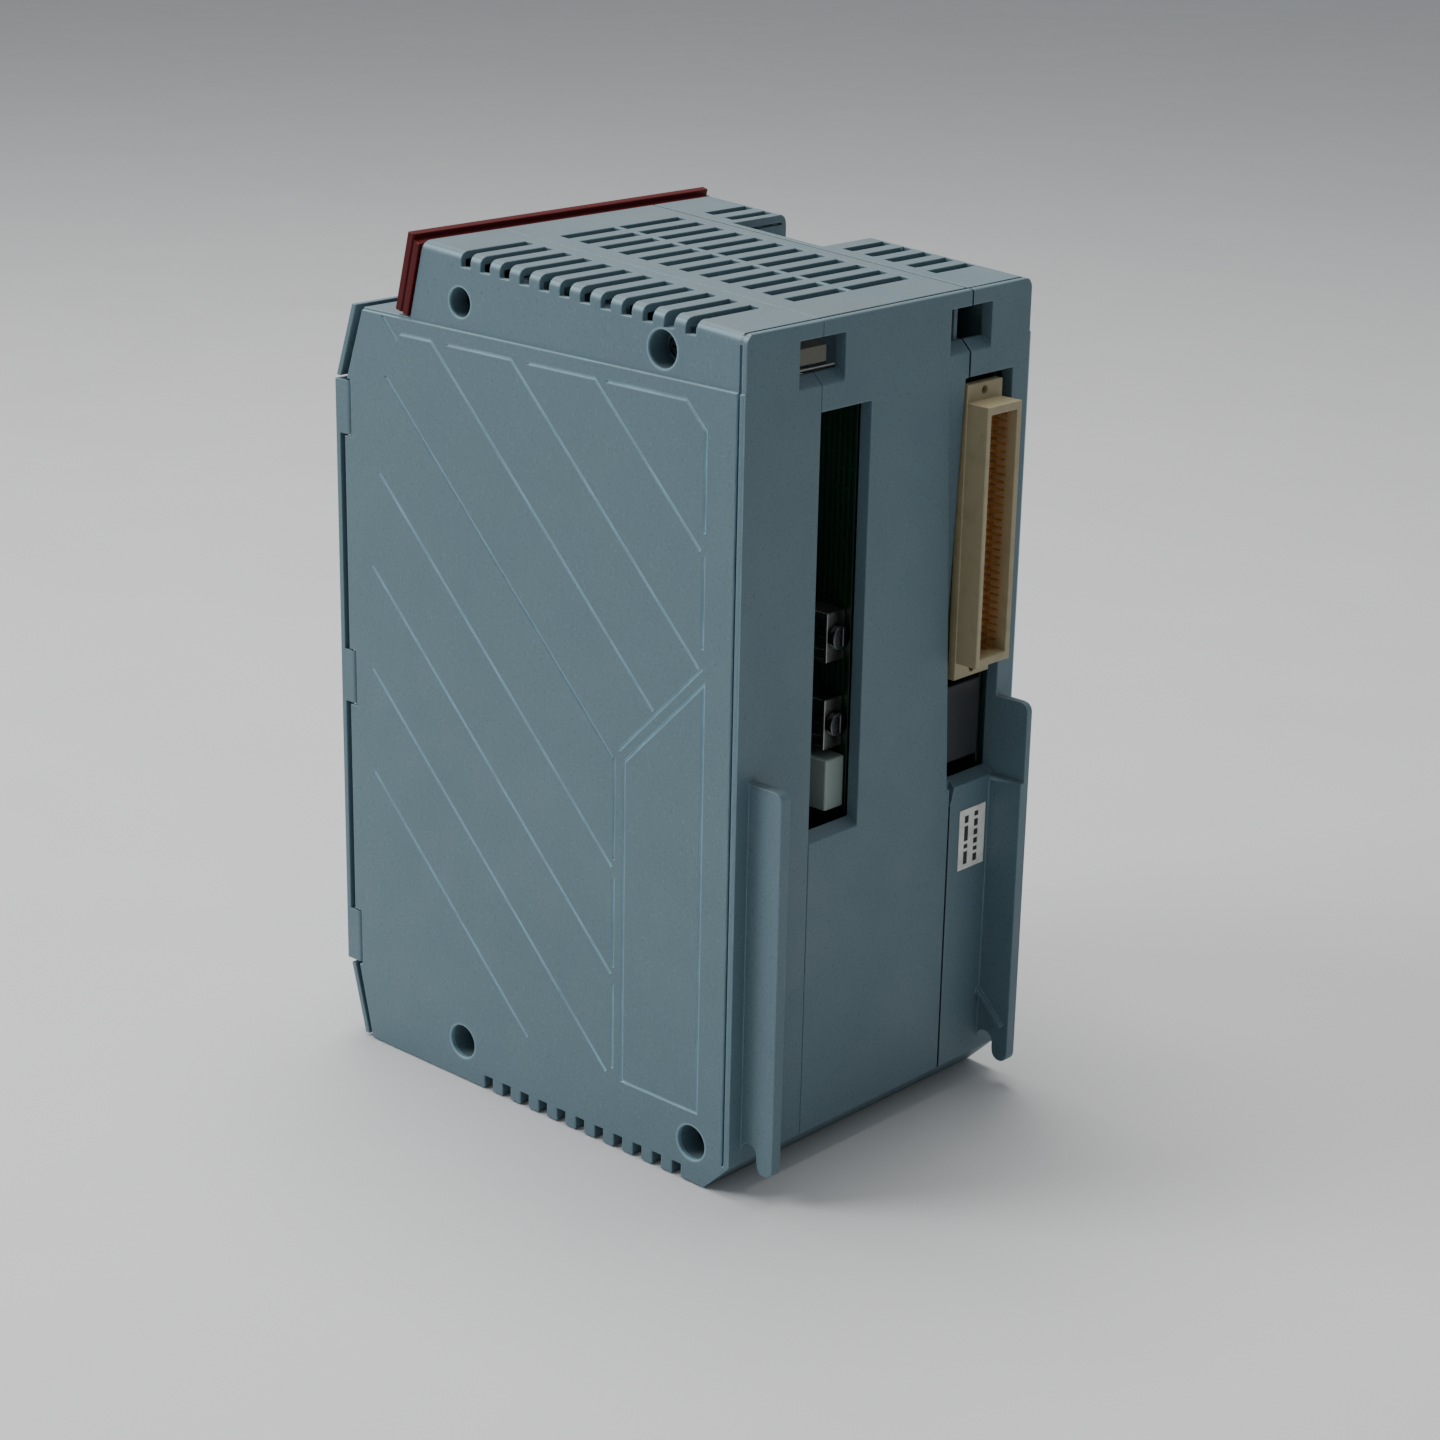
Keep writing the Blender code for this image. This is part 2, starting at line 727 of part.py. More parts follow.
def side_shell(name, seam, surface):
    """A side shell as if on the +X side, with what both sides have."""
    ends = [section(y, seam) for y in (FRONT - REACH, REAR + REACH)]
    shell = solid(name, loft(*ends), surface)
    reshape(shell, "INTERSECT", [prism(body_outline(), (seam - REACH, HALF_WIDTH + REACH))])
    cut(shell, prism(cavity_outline(), (seam - REACH, HALF_WIDTH - SIDE_WALL)))
    rail_outer = HALF_WIDTH - RAIL_INSET
    unite(shell, *well_bosses(), hook_rail((rail_outer - RAIL_THICKNESS, rail_outer)))
    vents = bottom_slots((seam + BOTTOM_SLOT_MARGIN, HALF_WIDTH + REACH))
    cut(shell, well_bores(), screw_bores(), knuckle_notches(), vents)
    cut(shell, side_groove(), edge_groove(), side_grooves())
    return shell


def mirror_object(obj):
    """Turns a finished +X shell into the -X one."""
    shape = bmesh.new()
    shape.from_mesh(obj.data)
    bmesh.ops.transform(shape, matrix=Matrix.Diagonal((-1, 1, 1, 1)), verts=shape.verts)
    bmesh.ops.reverse_faces(shape, faces=shape.faces)
    shape.to_mesh(obj.data)
    shape.free()
    return obj


def pin_spans():
    """Heights that the three hinge pins cover. The outer two enter the wall on one side only."""
    (bottom_low, bottom_high), (middle_low, middle_high), (top_low, top_high) = KNUCKLES
    return (
        (bottom_low + 2.0, bottom_high + PIN_REACH),
        (middle_low - PIN_REACH, middle_high + PIN_REACH),
        (top_low - PIN_REACH, top_high - 2.0),
    )


def pin_bores():
    """Short bores beside the notches, where the wall is deep enough to hold the pins."""
    spans = [grown(span, GAP) for span in pin_spans()]
    return merged([
        rod((HINGE_X, HINGE_Y, low), (0, 0, 1), high - low, PIN_HOLE, 12) for low, high in spans
    ])


def right_shell(surface):
    shell = side_shell("right_shell", SEAM_RIGHT + GAP / 2, surface)
    louvres = top_slots((RIGHT_SLOT_START, HALF_WIDTH + REACH), range(TOP_SLOTS))
    cut(shell, louvres, square_hole(SEAM_RIGHT), pin_bores())
    return shell


def finger_recess(shell, seam):
    """The pocket that opens the top edge of the left shell, with a floor and walls round it."""
    y = (REAR - RECESS_AHEAD[1], REAR - RECESS_AHEAD[0])
    outer = -HALF_WIDTH + BAND_INSET
    roof = top_height(y[1]) - 1.0
    unite(shell, box((outer + 1.0, seam - GAP), grown(y, 2.0), (RECESS_FLOOR - WALL, roof)))
    cut(shell, box((outer - REACH, SEAM_LEFT - RIDGE), y, (RECESS_FLOOR, RECESS_FLOOR + 2 * REACH)))


def rail_rib():
    """The diagonal rib on the inner face of the left rail."""
    inner_face = -HALF_WIDTH + RAIL_INSET + RAIL_THICKNESS
    points = [(REAR - 0.5, RIB_HEIGHT + 2.5), (REAR + 10.5, RIB_HEIGHT - 8.5)]
    return ribbon(points, RIB_WIDTH, (inner_face - 0.5, inner_face + RIB_STAND))


def sill_notch(seam):
    """The slanted corner that is missing beside the seam under the left window."""
    return loft(*[[(seam + x, y, z) for x, z in NOTCH_CORNER] for y in (REAR - NOTCH_DEPTH, REAR + REACH)])


def left_shell(surface):
    seam = SEAM_LEFT - SEAM_LEFT_GAP / 2
    shell = mirror_object(side_shell("left_shell", -seam, surface))
    finger_recess(shell, seam)
    front_rows = range(TOP_SLOTS - LEFT_FRONT_SLOTS, TOP_SLOTS)
    rear_rows = range(LEFT_REAR_SLOTS)
    cut(shell, top_slots(LEFT_SLOT_SPAN, front_rows), top_slots(LEFT_SLOT_SPAN, rear_rows))
    cut(shell, window(WINDOW_LEFT_EDGE), square_hole(SEAM_LEFT))
    cut(shell, sill_notch(seam))
    unite(shell, rail_rib())
    return shell


def spacer_rods():
    """Rods across the module that the cover screws of both shells bite into, with their webs."""
    shapes = []
    for ahead, z, _ in WELLS:
        y = REAR - ahead
        end = BOSS_END - GAP
        web = (z, top_height(y) - 1.0) if z > HIGH_SLANT else (1.0, z)
        shapes.append(rod((-end, y, z), (1, 0, 0), 2 * end, ROD_RADIUS, 12))
        shapes.append(box((SEAM_LEFT + ROD_WEB, SEAM_RIGHT - ROD_WEB), around(y, ROD_WEB), web))
    return shapes


def pilot_bores():
    bores = []
    for ahead, z, _ in WELLS:
        for side in (-1, 1):
            start = (side * (BOSS_END + 1.0), REAR - ahead, z)
            bores.append(rod(start, (-side, 0, 0), SCREW_LENGTH, SCREW_HOLE, 12))
    return merged(bores)


def partition(x):
    """The wall between the two module places, which also carries the nose shelf."""
    shelf = NOSE_TOP - WALL + 1.0
    inside = REAR - 1.0
    outline = [
        (PARTITION_FRONT, 1.0),
        (inside - REAR_CHAMFER, 1.0),
        (inside, REAR_CHAMFER + 1.0),
        (inside, top_height(inside) - 1.0),
        (DISPLAY_ROOM, top_height(DISPLAY_ROOM) - 1.0),
        (DISPLAY_ROOM, shelf),
        (PARTITION_FRONT, shelf),
    ]
    return prism(outline, (x, x + PARTITION))


def middle_housing(surface):
    x = (SEAM_LEFT + SEAM_LEFT_GAP / 2, SEAM_RIGHT - GAP / 2)
    housing = solid("middle_housing", prism(body_outline(), x), surface)
    cut(housing, prism(cavity_outline(), grown(x, REACH)))
    unite(housing, partition(x[0]), *spacer_rods())
    cut(housing, pilot_bores(), edge_groove())
    for column in MIDDLE_SLOT_COLUMNS:
        cut(housing, top_slots(column, range(TOP_SLOTS)), bottom_slots(column))
    cut(housing, window(SEAM_RIGHT), window(WINDOW_LEFT_EDGE))
    cut(housing, square_hole(SEAM_RIGHT), square_hole(SEAM_LEFT))
    return housing


# Front


def strip_outline(ends):
    """A sloped strip of the door's thickness between two (y, z) points of its outer face."""
    inner = [(y + DOOR_THICKNESS, z) for y, z in ends]
    return [ends[1], ends[0], inner[0], inner[1]]


def panel_outline():
    """The panel at the back of the front compartment, with the flanges that reach the strips."""
    low, high = PANEL_Z
    return [
        (-92.4, high),
        (PANEL_FACE, high),
        (PANEL_FACE, low),
        (-92.1, low),
        (-91.6, low - PANEL_THICKNESS),
        (PANEL_BACK, low - PANEL_THICKNESS),
        (PANEL_BACK, high + PANEL_THICKNESS),
        (-91.6, high + PANEL_THICKNESS),
    ]


def panel_openings():
    y = grown((PANEL_FACE, PANEL_BACK), 1.0)
    depth = y[1] - y[0]
    dials = [rod((x, y[0], CONTROL_ROW), (0, 1, 0), depth, DIAL_RADIUS + 0.4, 24) for x in DIAL_PLACES]
    return merged([
        *dials,
        rod((RESET_X, y[0], CONTROL_ROW), (0, 1, 0), depth, RESET_RADIUS + GAP, 20),
        box(around(MODE_X, MODE_SLOT[0]), y, around(CONTROL_ROW, MODE_SLOT[1])),
        box(grown(ENCODER_X, 2 * GAP), y, grown(ENCODER_Z, 2 * GAP)),
        box(grown(HEADER_X, 2 * GAP), y, grown(HEADER_Z, 2 * GAP)),
        box(grown(TERMINAL_X, 2 * GAP), y, grown(TERMINAL_Z, 2 * GAP)),
        rod((EARTH_X, y[0], EARTH_Z), (0, 1, 0), depth, 2.3, 12),
    ])


def front_frame(surface):
    """Sloped strips above and below the door, and the recessed panel that joins them."""
    width = around(0.0, HALF_WIDTH - GAP)
    frame = solid("front_frame", prism(strip_outline(STRIP_TOP), width), surface)
    lower = prism(strip_outline(STRIP_BOTTOM), width)
    panel = prism(panel_outline(), around(0.0, HALF_WIDTH - SIDE_WALL - GAP))
    unite(frame, lower, panel)
    cut(frame, panel_openings())
    return frame


def knuckle(span, back):
    """A hinge barrel that grows out of the door's inner face."""
    outline = [
        (HALF_WIDTH - SIDE_WALL, back - 1.0),
        *arc((HINGE_X, HINGE_Y), KNUCKLE_RADIUS, 180, 0, 6),
        (HALF_WIDTH, back - 1.0),
    ]
    return loft(*[[(x, y, z) for x, y in outline] for z in span])


def front_door(surface):
    back = DOOR_FACE + DOOR_THICKNESS
    plate = box(around(0.0, HALF_WIDTH), (DOOR_FACE, back), (DOOR_BOTTOM, DOOR_TOP))
    door = solid("front_door", plate, surface)
    catch_x = (-HALF_WIDTH, SIDE_WALL - HALF_WIDTH)
    catch_y = (back - 1.0, HINGE_Y + KNUCKLE_RADIUS)
    catches = [box(catch_x, catch_y, grown(span, -4.0)) for span in (KNUCKLES[0], KNUCKLES[2])]
    unite(door, *[knuckle(span, back) for span in KNUCKLES], *catches)
    bores = [
        rod((HINGE_X, HINGE_Y, low), (0, 0, 1), high - low, PIN_HOLE, 12)
        for low, high in [grown(span, 1.0) for span in KNUCKLES]
    ]
    card = box(grown(CARD[0], GAP), (DOOR_FACE - REACH, DOOR_FACE + CARD_DEPTH), grown(CARD[1], GAP))
    grip_x = -HALF_WIDTH - GRIP_RADIUS / 2
    grip = rod((grip_x, DOOR_FACE, GRIP_SPAN[0]), (0, 0, 1), GRIP_SPAN[1] - GRIP_SPAN[0], GRIP_RADIUS, 32)
    cut(door, merged(bores), card, grip)
    return pivot(door, (HINGE_X, HINGE_Y, 0.0))


def door_label(surface):
    """The blank card in the door's shallow pocket."""
    front = DOOR_FACE + 0.1
    return solid("door_label", box(CARD[0], (front, front + 0.4), CARD[1]), surface)


def hinge_pins(surface):
    for label, (low, high) in zip(("bottom", "middle", "top"), pin_spans()):
        pin = rod((HINGE_X, HINGE_Y, low), (0, 0, 1), high - low, PIN_RADIUS, 12)
        solid(f"hinge_pin_{label}", pin, surface)


# Bezel


def front_bezel(surface):
    """The leaning bar above the door, with holes for the keys, the window and the lights."""
    half = BEZEL_THICKNESS / 2
    bar = box(around(0.0, HALF_WIDTH), (0.0, BEZEL_THICKNESS), BEZEL_SPAN)
    bezel = solid("front_bezel", leaned(bar), surface)
    through = (-half, 3 * half)
    reach = KEY_SIZE / 2 + KEY_CLEARANCE
    holes = [box(around(x, reach), through, around(KEY_Z, reach)) for x in KEY_PLACES]
    holes.append(box(grown(DISPLAY_X, GAP), through, around(0.0, DISPLAY_HALF_HEIGHT + GAP)))
    holes.append(box(grown(LIGHT_X, GAP), through, grown(LIGHT_Z, GAP)))
    grooves = [
        box((side * HALF_WIDTH - 0.5, side * HALF_WIDTH + 0.5), around(half, 0.4), around(0.0, REACH))
        for side in (-1, 1)
    ]
    shoulder = box(around(0.0, HALF_WIDTH + REACH), (BEZEL_PLATE, REACH), (BEZEL_SHOULDER, REACH))
    cut(bezel, leaned(merged(holes)), leaned(merged(grooves)), leaned(shoulder))
    return bezel


def display_parts(window_surface, board_surface, light_surface):
    half = DISPLAY_HALF_HEIGHT
    pane = box(DISPLAY_X, (0.4, 3.0), around(0.0, half))
    module = box(grown(DISPLAY_X, 2.0), (BEZEL_THICKNESS + 0.8, 14.0), around(0.0, BOARD_HALF_HEIGHT))
    keys = grown((KEY_PLACES[0], KEY_PLACES[-1]), 7.0)
    board_y = (KEY_BOARD_BACK, KEY_BOARD_BACK + BOARD_THICKNESS)
    solid("display_window", leaned(pane), window_surface)
    solid("display_module", leaned(module), board_surface)
    solid("key_board", leaned(box(keys, board_y, around(0.0, BOARD_HALF_HEIGHT))), board_surface)
    solid("status_lights", leaned(box(LIGHT_X, (GAP, BEZEL_THICKNESS), LIGHT_Z)), light_surface)


def keys(surface):
    """Key caps that stand a little proud, each kept in by a flange behind the bezel."""
    half = KEY_SIZE / 2
    for number, x in enumerate(KEY_PLACES, 1):
        cap = box(around(x, half), (-KEY_STAND, BEZEL_THICKNESS + KEY_STAND), around(KEY_Z, half))
        flange_y = (BEZEL_THICKNESS + GAP, BEZEL_THICKNESS + GAP + 1.0)
        flange = box(around(x, half + 1.0), flange_y, around(KEY_Z, half + 1.0))
        key = solid(f"key_{number}", leaned(cap), surface)
        unite(key, leaned(flange))
        pivot(key, bezel_frame() @ Vector((x, 0.0, KEY_Z)))


# Front compartment


def power_terminals(surface):
    block = box(TERMINAL_X, (TERMINAL_FACE, PANEL_BACK + 6.0), TERMINAL_Z)
    terminals = solid("power_terminals", block, surface)
    poles = [FIRST_POLE + TERMINAL_PITCH * i for i in range(TERMINAL_POLES)]
    half, low, high = ENTRY
    start = TERMINAL_FACE - 2.0
    entries = [box(around(x, half), (start, start + 12.0), (low, high)) for x in poles]
    drivers = [rod((x, start, DRIVER_Z), (0, 1, 0), 9.0, DRIVER_RADIUS, 12) for x in poles]
    cut(terminals, merged(entries), merged(drivers))
    return terminals


def signal_connector(shell_surface, contact_surface):
    """A long open header with two columns of contacts."""
    floor = PANEL_FACE - 1.5
    header = solid("signal_header", box(HEADER_X, (HEADER_FACE, PANEL_BACK + 6.0), HEADER_Z), shell_surface)
    well = box(grown(HEADER_X, -HEADER_WALL), (HEADER_FACE - 4.0, floor), grown(HEADER_Z, -HEADER_WALL))
    cut(header, well)
    plate = box(grown(HEADER_X, -3.5), (floor - 1.2, floor - 0.4), grown(HEADER_Z, -4.0))
    contacts = solid("signal_contacts", plate, contact_surface)
    blades = [
        box(around(x, CONTACT_HALF), (HEADER_FACE + 3.0, floor - 0.7), around(z, CONTACT_HALF))
        for x in HEADER_COLUMNS
        for z in [FIRST_HEADER_ROW + HEADER_PITCH * i for i in range(HEADER_ROWS)]
    ]
    unite(contacts, merged(blades))


def encoder_connector(shell_surface, insert_surface):
    """A metal shell round a socket insert with two staggered columns."""
    outside = box(ENCODER_X, (ENCODER_FACE, PANEL_BACK + 4.0), ENCODER_Z)
    shell = solid("encoder_shell", outside, shell_surface)
    floor = PANEL_FACE - 1.0
    hollow_x, hollow_z = grown(ENCODER_X, -ENCODER_WALL), grown(ENCODER_Z, -ENCODER_WALL)
    cut(shell, box(hollow_x, (ENCODER_FACE - REACH, floor), hollow_z))
    insert_y = (ENCODER_FACE + 1.0, floor - 0.4)
    block = box(grown(hollow_x, -0.4), insert_y, grown(hollow_z, -0.4))
    insert = solid("encoder_insert", block, insert_surface)
    sockets = [
        rod((x, ENCODER_FACE - 1.0, first + SOCKET_PITCH * i), (0, 1, 0), 5.0, SOCKET_RADIUS, 8)
        for x, first, count in SOCKET_COLUMNS
        for i in range(count)
    ]
    cut(insert, merged(sockets))


def reset_button(surface):
    head = rod((RESET_X, PANEL_FACE - 2.0, CONTROL_ROW), (0, 1, 0), 8.0, RESET_RADIUS, 20)
    flange = rod((RESET_X, PANEL_BACK + 2 * GAP, CONTROL_ROW), (0, 1, 0), 1.2, DIAL_RADIUS, 20)
    button = unite(solid("reset_button", head, surface), flange)
    return pivot(button, (RESET_X, PANEL_FACE, CONTROL_ROW))


def mode_switch(body_surface, lever_surface):
    """A slide switch whose lever rests at the lower end of its slot."""
    block = box(around(MODE_X, 4.5), (PANEL_BACK + GAP, PANEL_BACK + 7.0), around(CONTROL_ROW, 8.0))
    body = solid("mode_switch", block, body_surface)
    slot_y = grown((PANEL_FACE, PANEL_BACK), 3.5)
    cut(body, box(around(MODE_X, MODE_SLOT[0]), slot_y, around(CONTROL_ROW, MODE_SLOT[1])))
    half, low, high = MODE_LEVER
    lever_y = (PANEL_FACE - 2.5, PANEL_BACK + 3.0)
    bar = box(around(MODE_X, half), lever_y, (CONTROL_ROW + low, CONTROL_ROW + high))
    pivot(solid("mode_lever", bar, lever_surface), (MODE_X, PANEL_FACE, CONTROL_ROW))


def address_dials(surface):
    for number, x in enumerate(DIAL_PLACES, 1):
        front = PANEL_FACE - 1.0
        disc = rod((x, front, CONTROL_ROW), (0, 1, 0), 7.0, DIAL_RADIUS, 24)
        dial = solid(f"address_dial_{number}", disc, surface)
        cut(dial, box(around(x, DIAL_SLOT), (front - 2.0, front + 1.0), around(CONTROL_ROW, 3.0)))
        pivot(dial, (x, PANEL_FACE, CONTROL_ROW))


def earth_screw(surface):
    front = PANEL_FACE - 3.4
    screw = solid("earth_screw", rod((EARTH_X, front, EARTH_Z), (0, 1, 0), 3.0, 4.5, 20), surface)
    unite(screw, rod((EARTH_X, front + 2.4, EARTH_Z), (0, 1, 0), 12.0, 2.0, 12))
    cut(screw, box(around(EARTH_X, 3.2), (front - 1.6, front + 1.2), around(EARTH_Z, 0.6)))
    return screw


# Back


def bus_connector(shell_surface, contact_surface):
    """The plug in the left window: a flange, a shroud that stands out of it, and pins inside."""
    right = WINDOW_LEFT_EDGE - 2 * GAP
    x = (right - PLUG_WIDTH, right)
    middle = sum(x) / 2
    flange_y = (REAR - 0.2 - PLUG_FLANGE, REAR - 0.2)
    plug = solid("bus_connector", box(x, flange_y, PLUG_Z), shell_surface)
    shroud = box(grown(x, -0.2), (REAR - 1.0, REAR + SHROUD_OUT), SHROUD_Z)
    tail = box(grown(x, -1.6), (REAR - 14.0, REAR - 2.0), grown(SHROUD_Z, -0.7))
    unite(plug, shroud, tail)
    well_x, well_z = grown(x, -0.2 - SHROUD_WALL), grown(SHROUD_Z, -2.7)
    start = REAR - REACH
    screws = [rod((middle, start, z), (0, 1, 0), 2 * REACH, PLUG_SCREW_HOLE, 12) for z in PLUG_SCREWS]
    cut(plug, box(well_x, (REAR - 1.4, REAR + REACH), well_z), merged(screws))
    plate = box(grown(well_x, -0.4), (REAR - 1.1, REAR - 0.1), grown(well_z, -0.4))
    contacts = solid("bus_contacts", plate, contact_surface)
    pins = [
        box(around(middle + PLUG_COLUMN_PITCH * column, CONTACT_HALF),
            (REAR - 0.4, REAR + PLUG_PIN_OUT),
            around(FIRST_PLUG_ROW + PLUG_PITCH * row, CONTACT_HALF))
        for column in (-1, 0, 1)
        for row in range(PLUG_ROWS)
    ]
    unite(contacts, merged(pins))


def clamp(label, z, surface):
    """A bent clamp bracket on the power board, and the screw in it."""
    foot = POWER_BOARD_X + BOARD_THICKNESS + GAP
    face, sheet = CLAMP_FACE, CLAMP_SHEET
    bracket_x = (foot, foot + CLAMP_WIDTH)
    bracket = solid(f"clamp_{label}", box(bracket_x, (face - CLAMP_DEPTH, face), z), surface)
    hollow = box((foot + sheet, foot + REACH), (face - 2 * REACH, face - sheet), grown(z, -sheet))
    middle = (foot + CLAMP_WIDTH / 2, sum(z) / 2)
    hole = rod((middle[0], face - 4.0, middle[1]), (0, 1, 0), 6.0, CLAMP_SHANK + GAP, 12)
    cut(bracket, hollow, hole)
    head = rod((middle[0], face + GAP, middle[1]), (0, 1, 0), 2.2, CLAMP_HEAD, 24)
    screw = solid(f"clamp_screw_{label}", head, surface)
    unite(screw, rod((middle[0], face - 6.3, middle[1]), (0, 1, 0), 7.0, CLAMP_SHANK, 12))
    cut(screw, box(around(middle[0], 0.5), (face + 1.5, REAR), around(middle[1], 2.6)))


def boards(surfaces):
    """The two boards that stand on edge, and the blocks that close the lower ends of the windows."""
    control_x = (CONTROL_BOARD_X, CONTROL_BOARD_X + BOARD_THICKNESS)
    power_x = (POWER_BOARD_X, POWER_BOARD_X + BOARD_THICKNESS)
    relay_x = (power_x[1] + GAP, power_x[1] + 9.1)
    solid("control_board", box(control_x, (-50.0, BOARD_REAR), BOARD_Z), surfaces["board"])
    solid("power_board", box(power_x, (PARTITION_FRONT, BOARD_REAR - 0.5), BOARD_Z), surfaces["board"])
    solid("relay", box(relay_x, (REAR - 33.0, REAR - 7.0), RELAY_Z), surfaces["relay"])
    solid("filter_block", box(FILTER_X, (REAR - 24.0, REAR - 5.0), FILTER_Z), surfaces["dark"])


def rear_label(surface):
    return solid("rear_label", box((-55.4, -42.0), (REAR + 0.05, REAR + 0.3), (78.5, 99.5)), surface)


def rack_latch(surface):
    """The tongue behind the right square hole, with a hook on its upper face."""
    latch = solid("rack_latch", box(LATCH_X, (LATCH_FACE - LATCH_LENGTH, LATCH_FACE), LATCH_Z), surface)
    root, tip = LATCH_Z[1] - 0.4, LATCH_Z[1] + LATCH_HOOK
    hook = [(LATCH_FACE, root), (LATCH_FACE - 3.8, root), (LATCH_FACE - 3.8, tip), (LATCH_FACE - 2.0, tip)]
    unite(latch, prism(hook, grown(LATCH_X, -1.6)))
    return pivot(latch, (sum(LATCH_X) / 2, REAR, sum(LATCH_Z) / 2))


def release_slider(surface):
    """A ribbed slider on the floor of the finger recess."""
    middle = REAR - sum(RECESS_AHEAD) / 2
    start = middle - SLIDER_LENGTH * 0.75
    top = RECESS_FLOOR + GAP + SLIDER_THICKNESS
    plate = box(SLIDER_X, (start, start + SLIDER_LENGTH), (RECESS_FLOOR + GAP, top))
    slider = solid("release_slider", plate, surface)
    starts = [start + 1.0 + SLIDER_RIB_PITCH * i for i in range(SLIDER_RIBS)]
    unite(slider, *[box(SLIDER_X, (y, y + SLIDER_RIB), (top - 1.0, top + SLIDER_RIB)) for y in starts])
    return pivot(slider, (sum(SLIDER_X) / 2, middle, RECESS_FLOOR))


# Power section


def heat_sink(surface):
    sink = solid("heat_sink", box(SINK_X, SINK_Y, SINK_Z), surface)
    fins = [
        box((FIN_REACH, SINK_X[0] + 0.5), around(SINK_Y[0] + 3.0 + FIN_PITCH * i, FIN_HALF), SINK_Z)
        for i in range(SINK_FINS)
    ]
    return unite(sink, *fins)


def power_parts(surfaces):
    """The heat sink and the module on it, then what stands on the power board's other face."""
    heat_sink(surfaces["aluminium"])
    beside = SINK_X[1] + GAP
    solid("power_module", box((beside, beside + 3.8), (-20.0, 42.0), (90.0, 200.0)), surfaces["dark"])
    for label, z in (("upper", BOARD_Z[1] - 8.0), ("lower", BOARD_Z[0] + 8.0)):
        solid(f"standoff_{label}", rod((beside, 55.0, z), (1, 0, 0), 3.8, 3.0, 12), surfaces["steel"])
    board_face = POWER_BOARD_X + BOARD_THICKNESS + GAP
    for number, z in enumerate(CAPACITOR_HEIGHTS, 1):
        can = rod((board_face, -20.0, z), (1, 0, 0), CAPACITOR_LENGTH, CAPACITOR_RADIUS, 32)
        solid(f"capacitor_{number}", can, surfaces["can"])
    solid("filter_choke", ring(CHOKE_CENTRE, 15.0, 6.5), surfaces["choke"])


def cover_screw(name, side, y, z, surface):
    """A cross-head screw that holds a side shell; side is 1 on the right and -1 on the left."""
    seat = side * (WELL_FLOOR + GAP)
    screw = solid(name, rod((seat, y, z), (side, 0, 0), SCREW_HEAD_HEIGHT, SCREW_HEAD, 20), surface)
    unite(screw, rod((seat + side * 0.5, y, z), (-side, 0, 0), SCREW_LENGTH, SCREW_SHANK, 12))
    slot_x = sorted((seat + side * (SCREW_HEAD_HEIGHT - 1.0), seat + side * 6.0))
    cut(screw, box(slot_x, around(y, 0.4), around(z, 1.9)), box(slot_x, around(y, 1.9), around(z, 0.4)))
    return screw


def cover_screws(surface):
    for side, prefix in ((1, "right"), (-1, "left")):
        for label, (ahead, z, _) in zip(WELL_NAMES, WELLS):
            cover_screw(f"{prefix}_screw_{label}", side, REAR - ahead, z, surface)


def shade_round_faces():
    for obj in bpy.data.objects:
        obj.data.shade_smooth()
        obj.data.set_sharp_from_angle(angle=SMOOTH_ANGLE)


def build():
    clear_scene()
    surfaces = {key: material(*values) for key, values in SURFACES.items()}
    for housing in (right_shell, left_shell, middle_housing, front_frame, front_door):
        housing(surfaces["housing"])
    door_label(surfaces["label"])
    hinge_pins(surfaces["steel"])
    front_bezel(surfaces["bezel"])
    display_parts(surfaces["window"], surfaces["board"], surfaces["lights"])
    keys(surfaces["key"])
    power_terminals(surfaces["terminal"])
    signal_connector(surfaces["connector"], surfaces["contact"])
    encoder_connector(surfaces["steel"], surfaces["terminal"])
    reset_button(surfaces["red"])
    mode_switch(surfaces["terminal"], surfaces["lever"])
    address_dials(surfaces["lever"])
    earth_screw(surfaces["steel"])
    bus_connector(surfaces["connector"], surfaces["contact"])
    boards(surfaces)
    for label, z in CLAMPS.items():
        clamp(label, z, surfaces["steel"])
    rear_label(surfaces["label"])
    rack_latch(surfaces["lever"])
    release_slider(surfaces["dark"])
    power_parts(surfaces)
    cover_screws(surfaces["steel"])
    shade_round_faces()


build()
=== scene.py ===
"""Looks of the rack-mounted servo drive: rounded meshes, fine parts and procedural materials.

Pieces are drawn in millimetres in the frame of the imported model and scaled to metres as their
meshes are written. X runs across the module to the side of the door's hinge, Y to its back and
Z up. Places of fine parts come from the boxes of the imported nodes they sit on.
"""

import json
import math

import bmesh
import bpy
from mathutils import Matrix, Vector
from mathutils.kdtree import KDTree

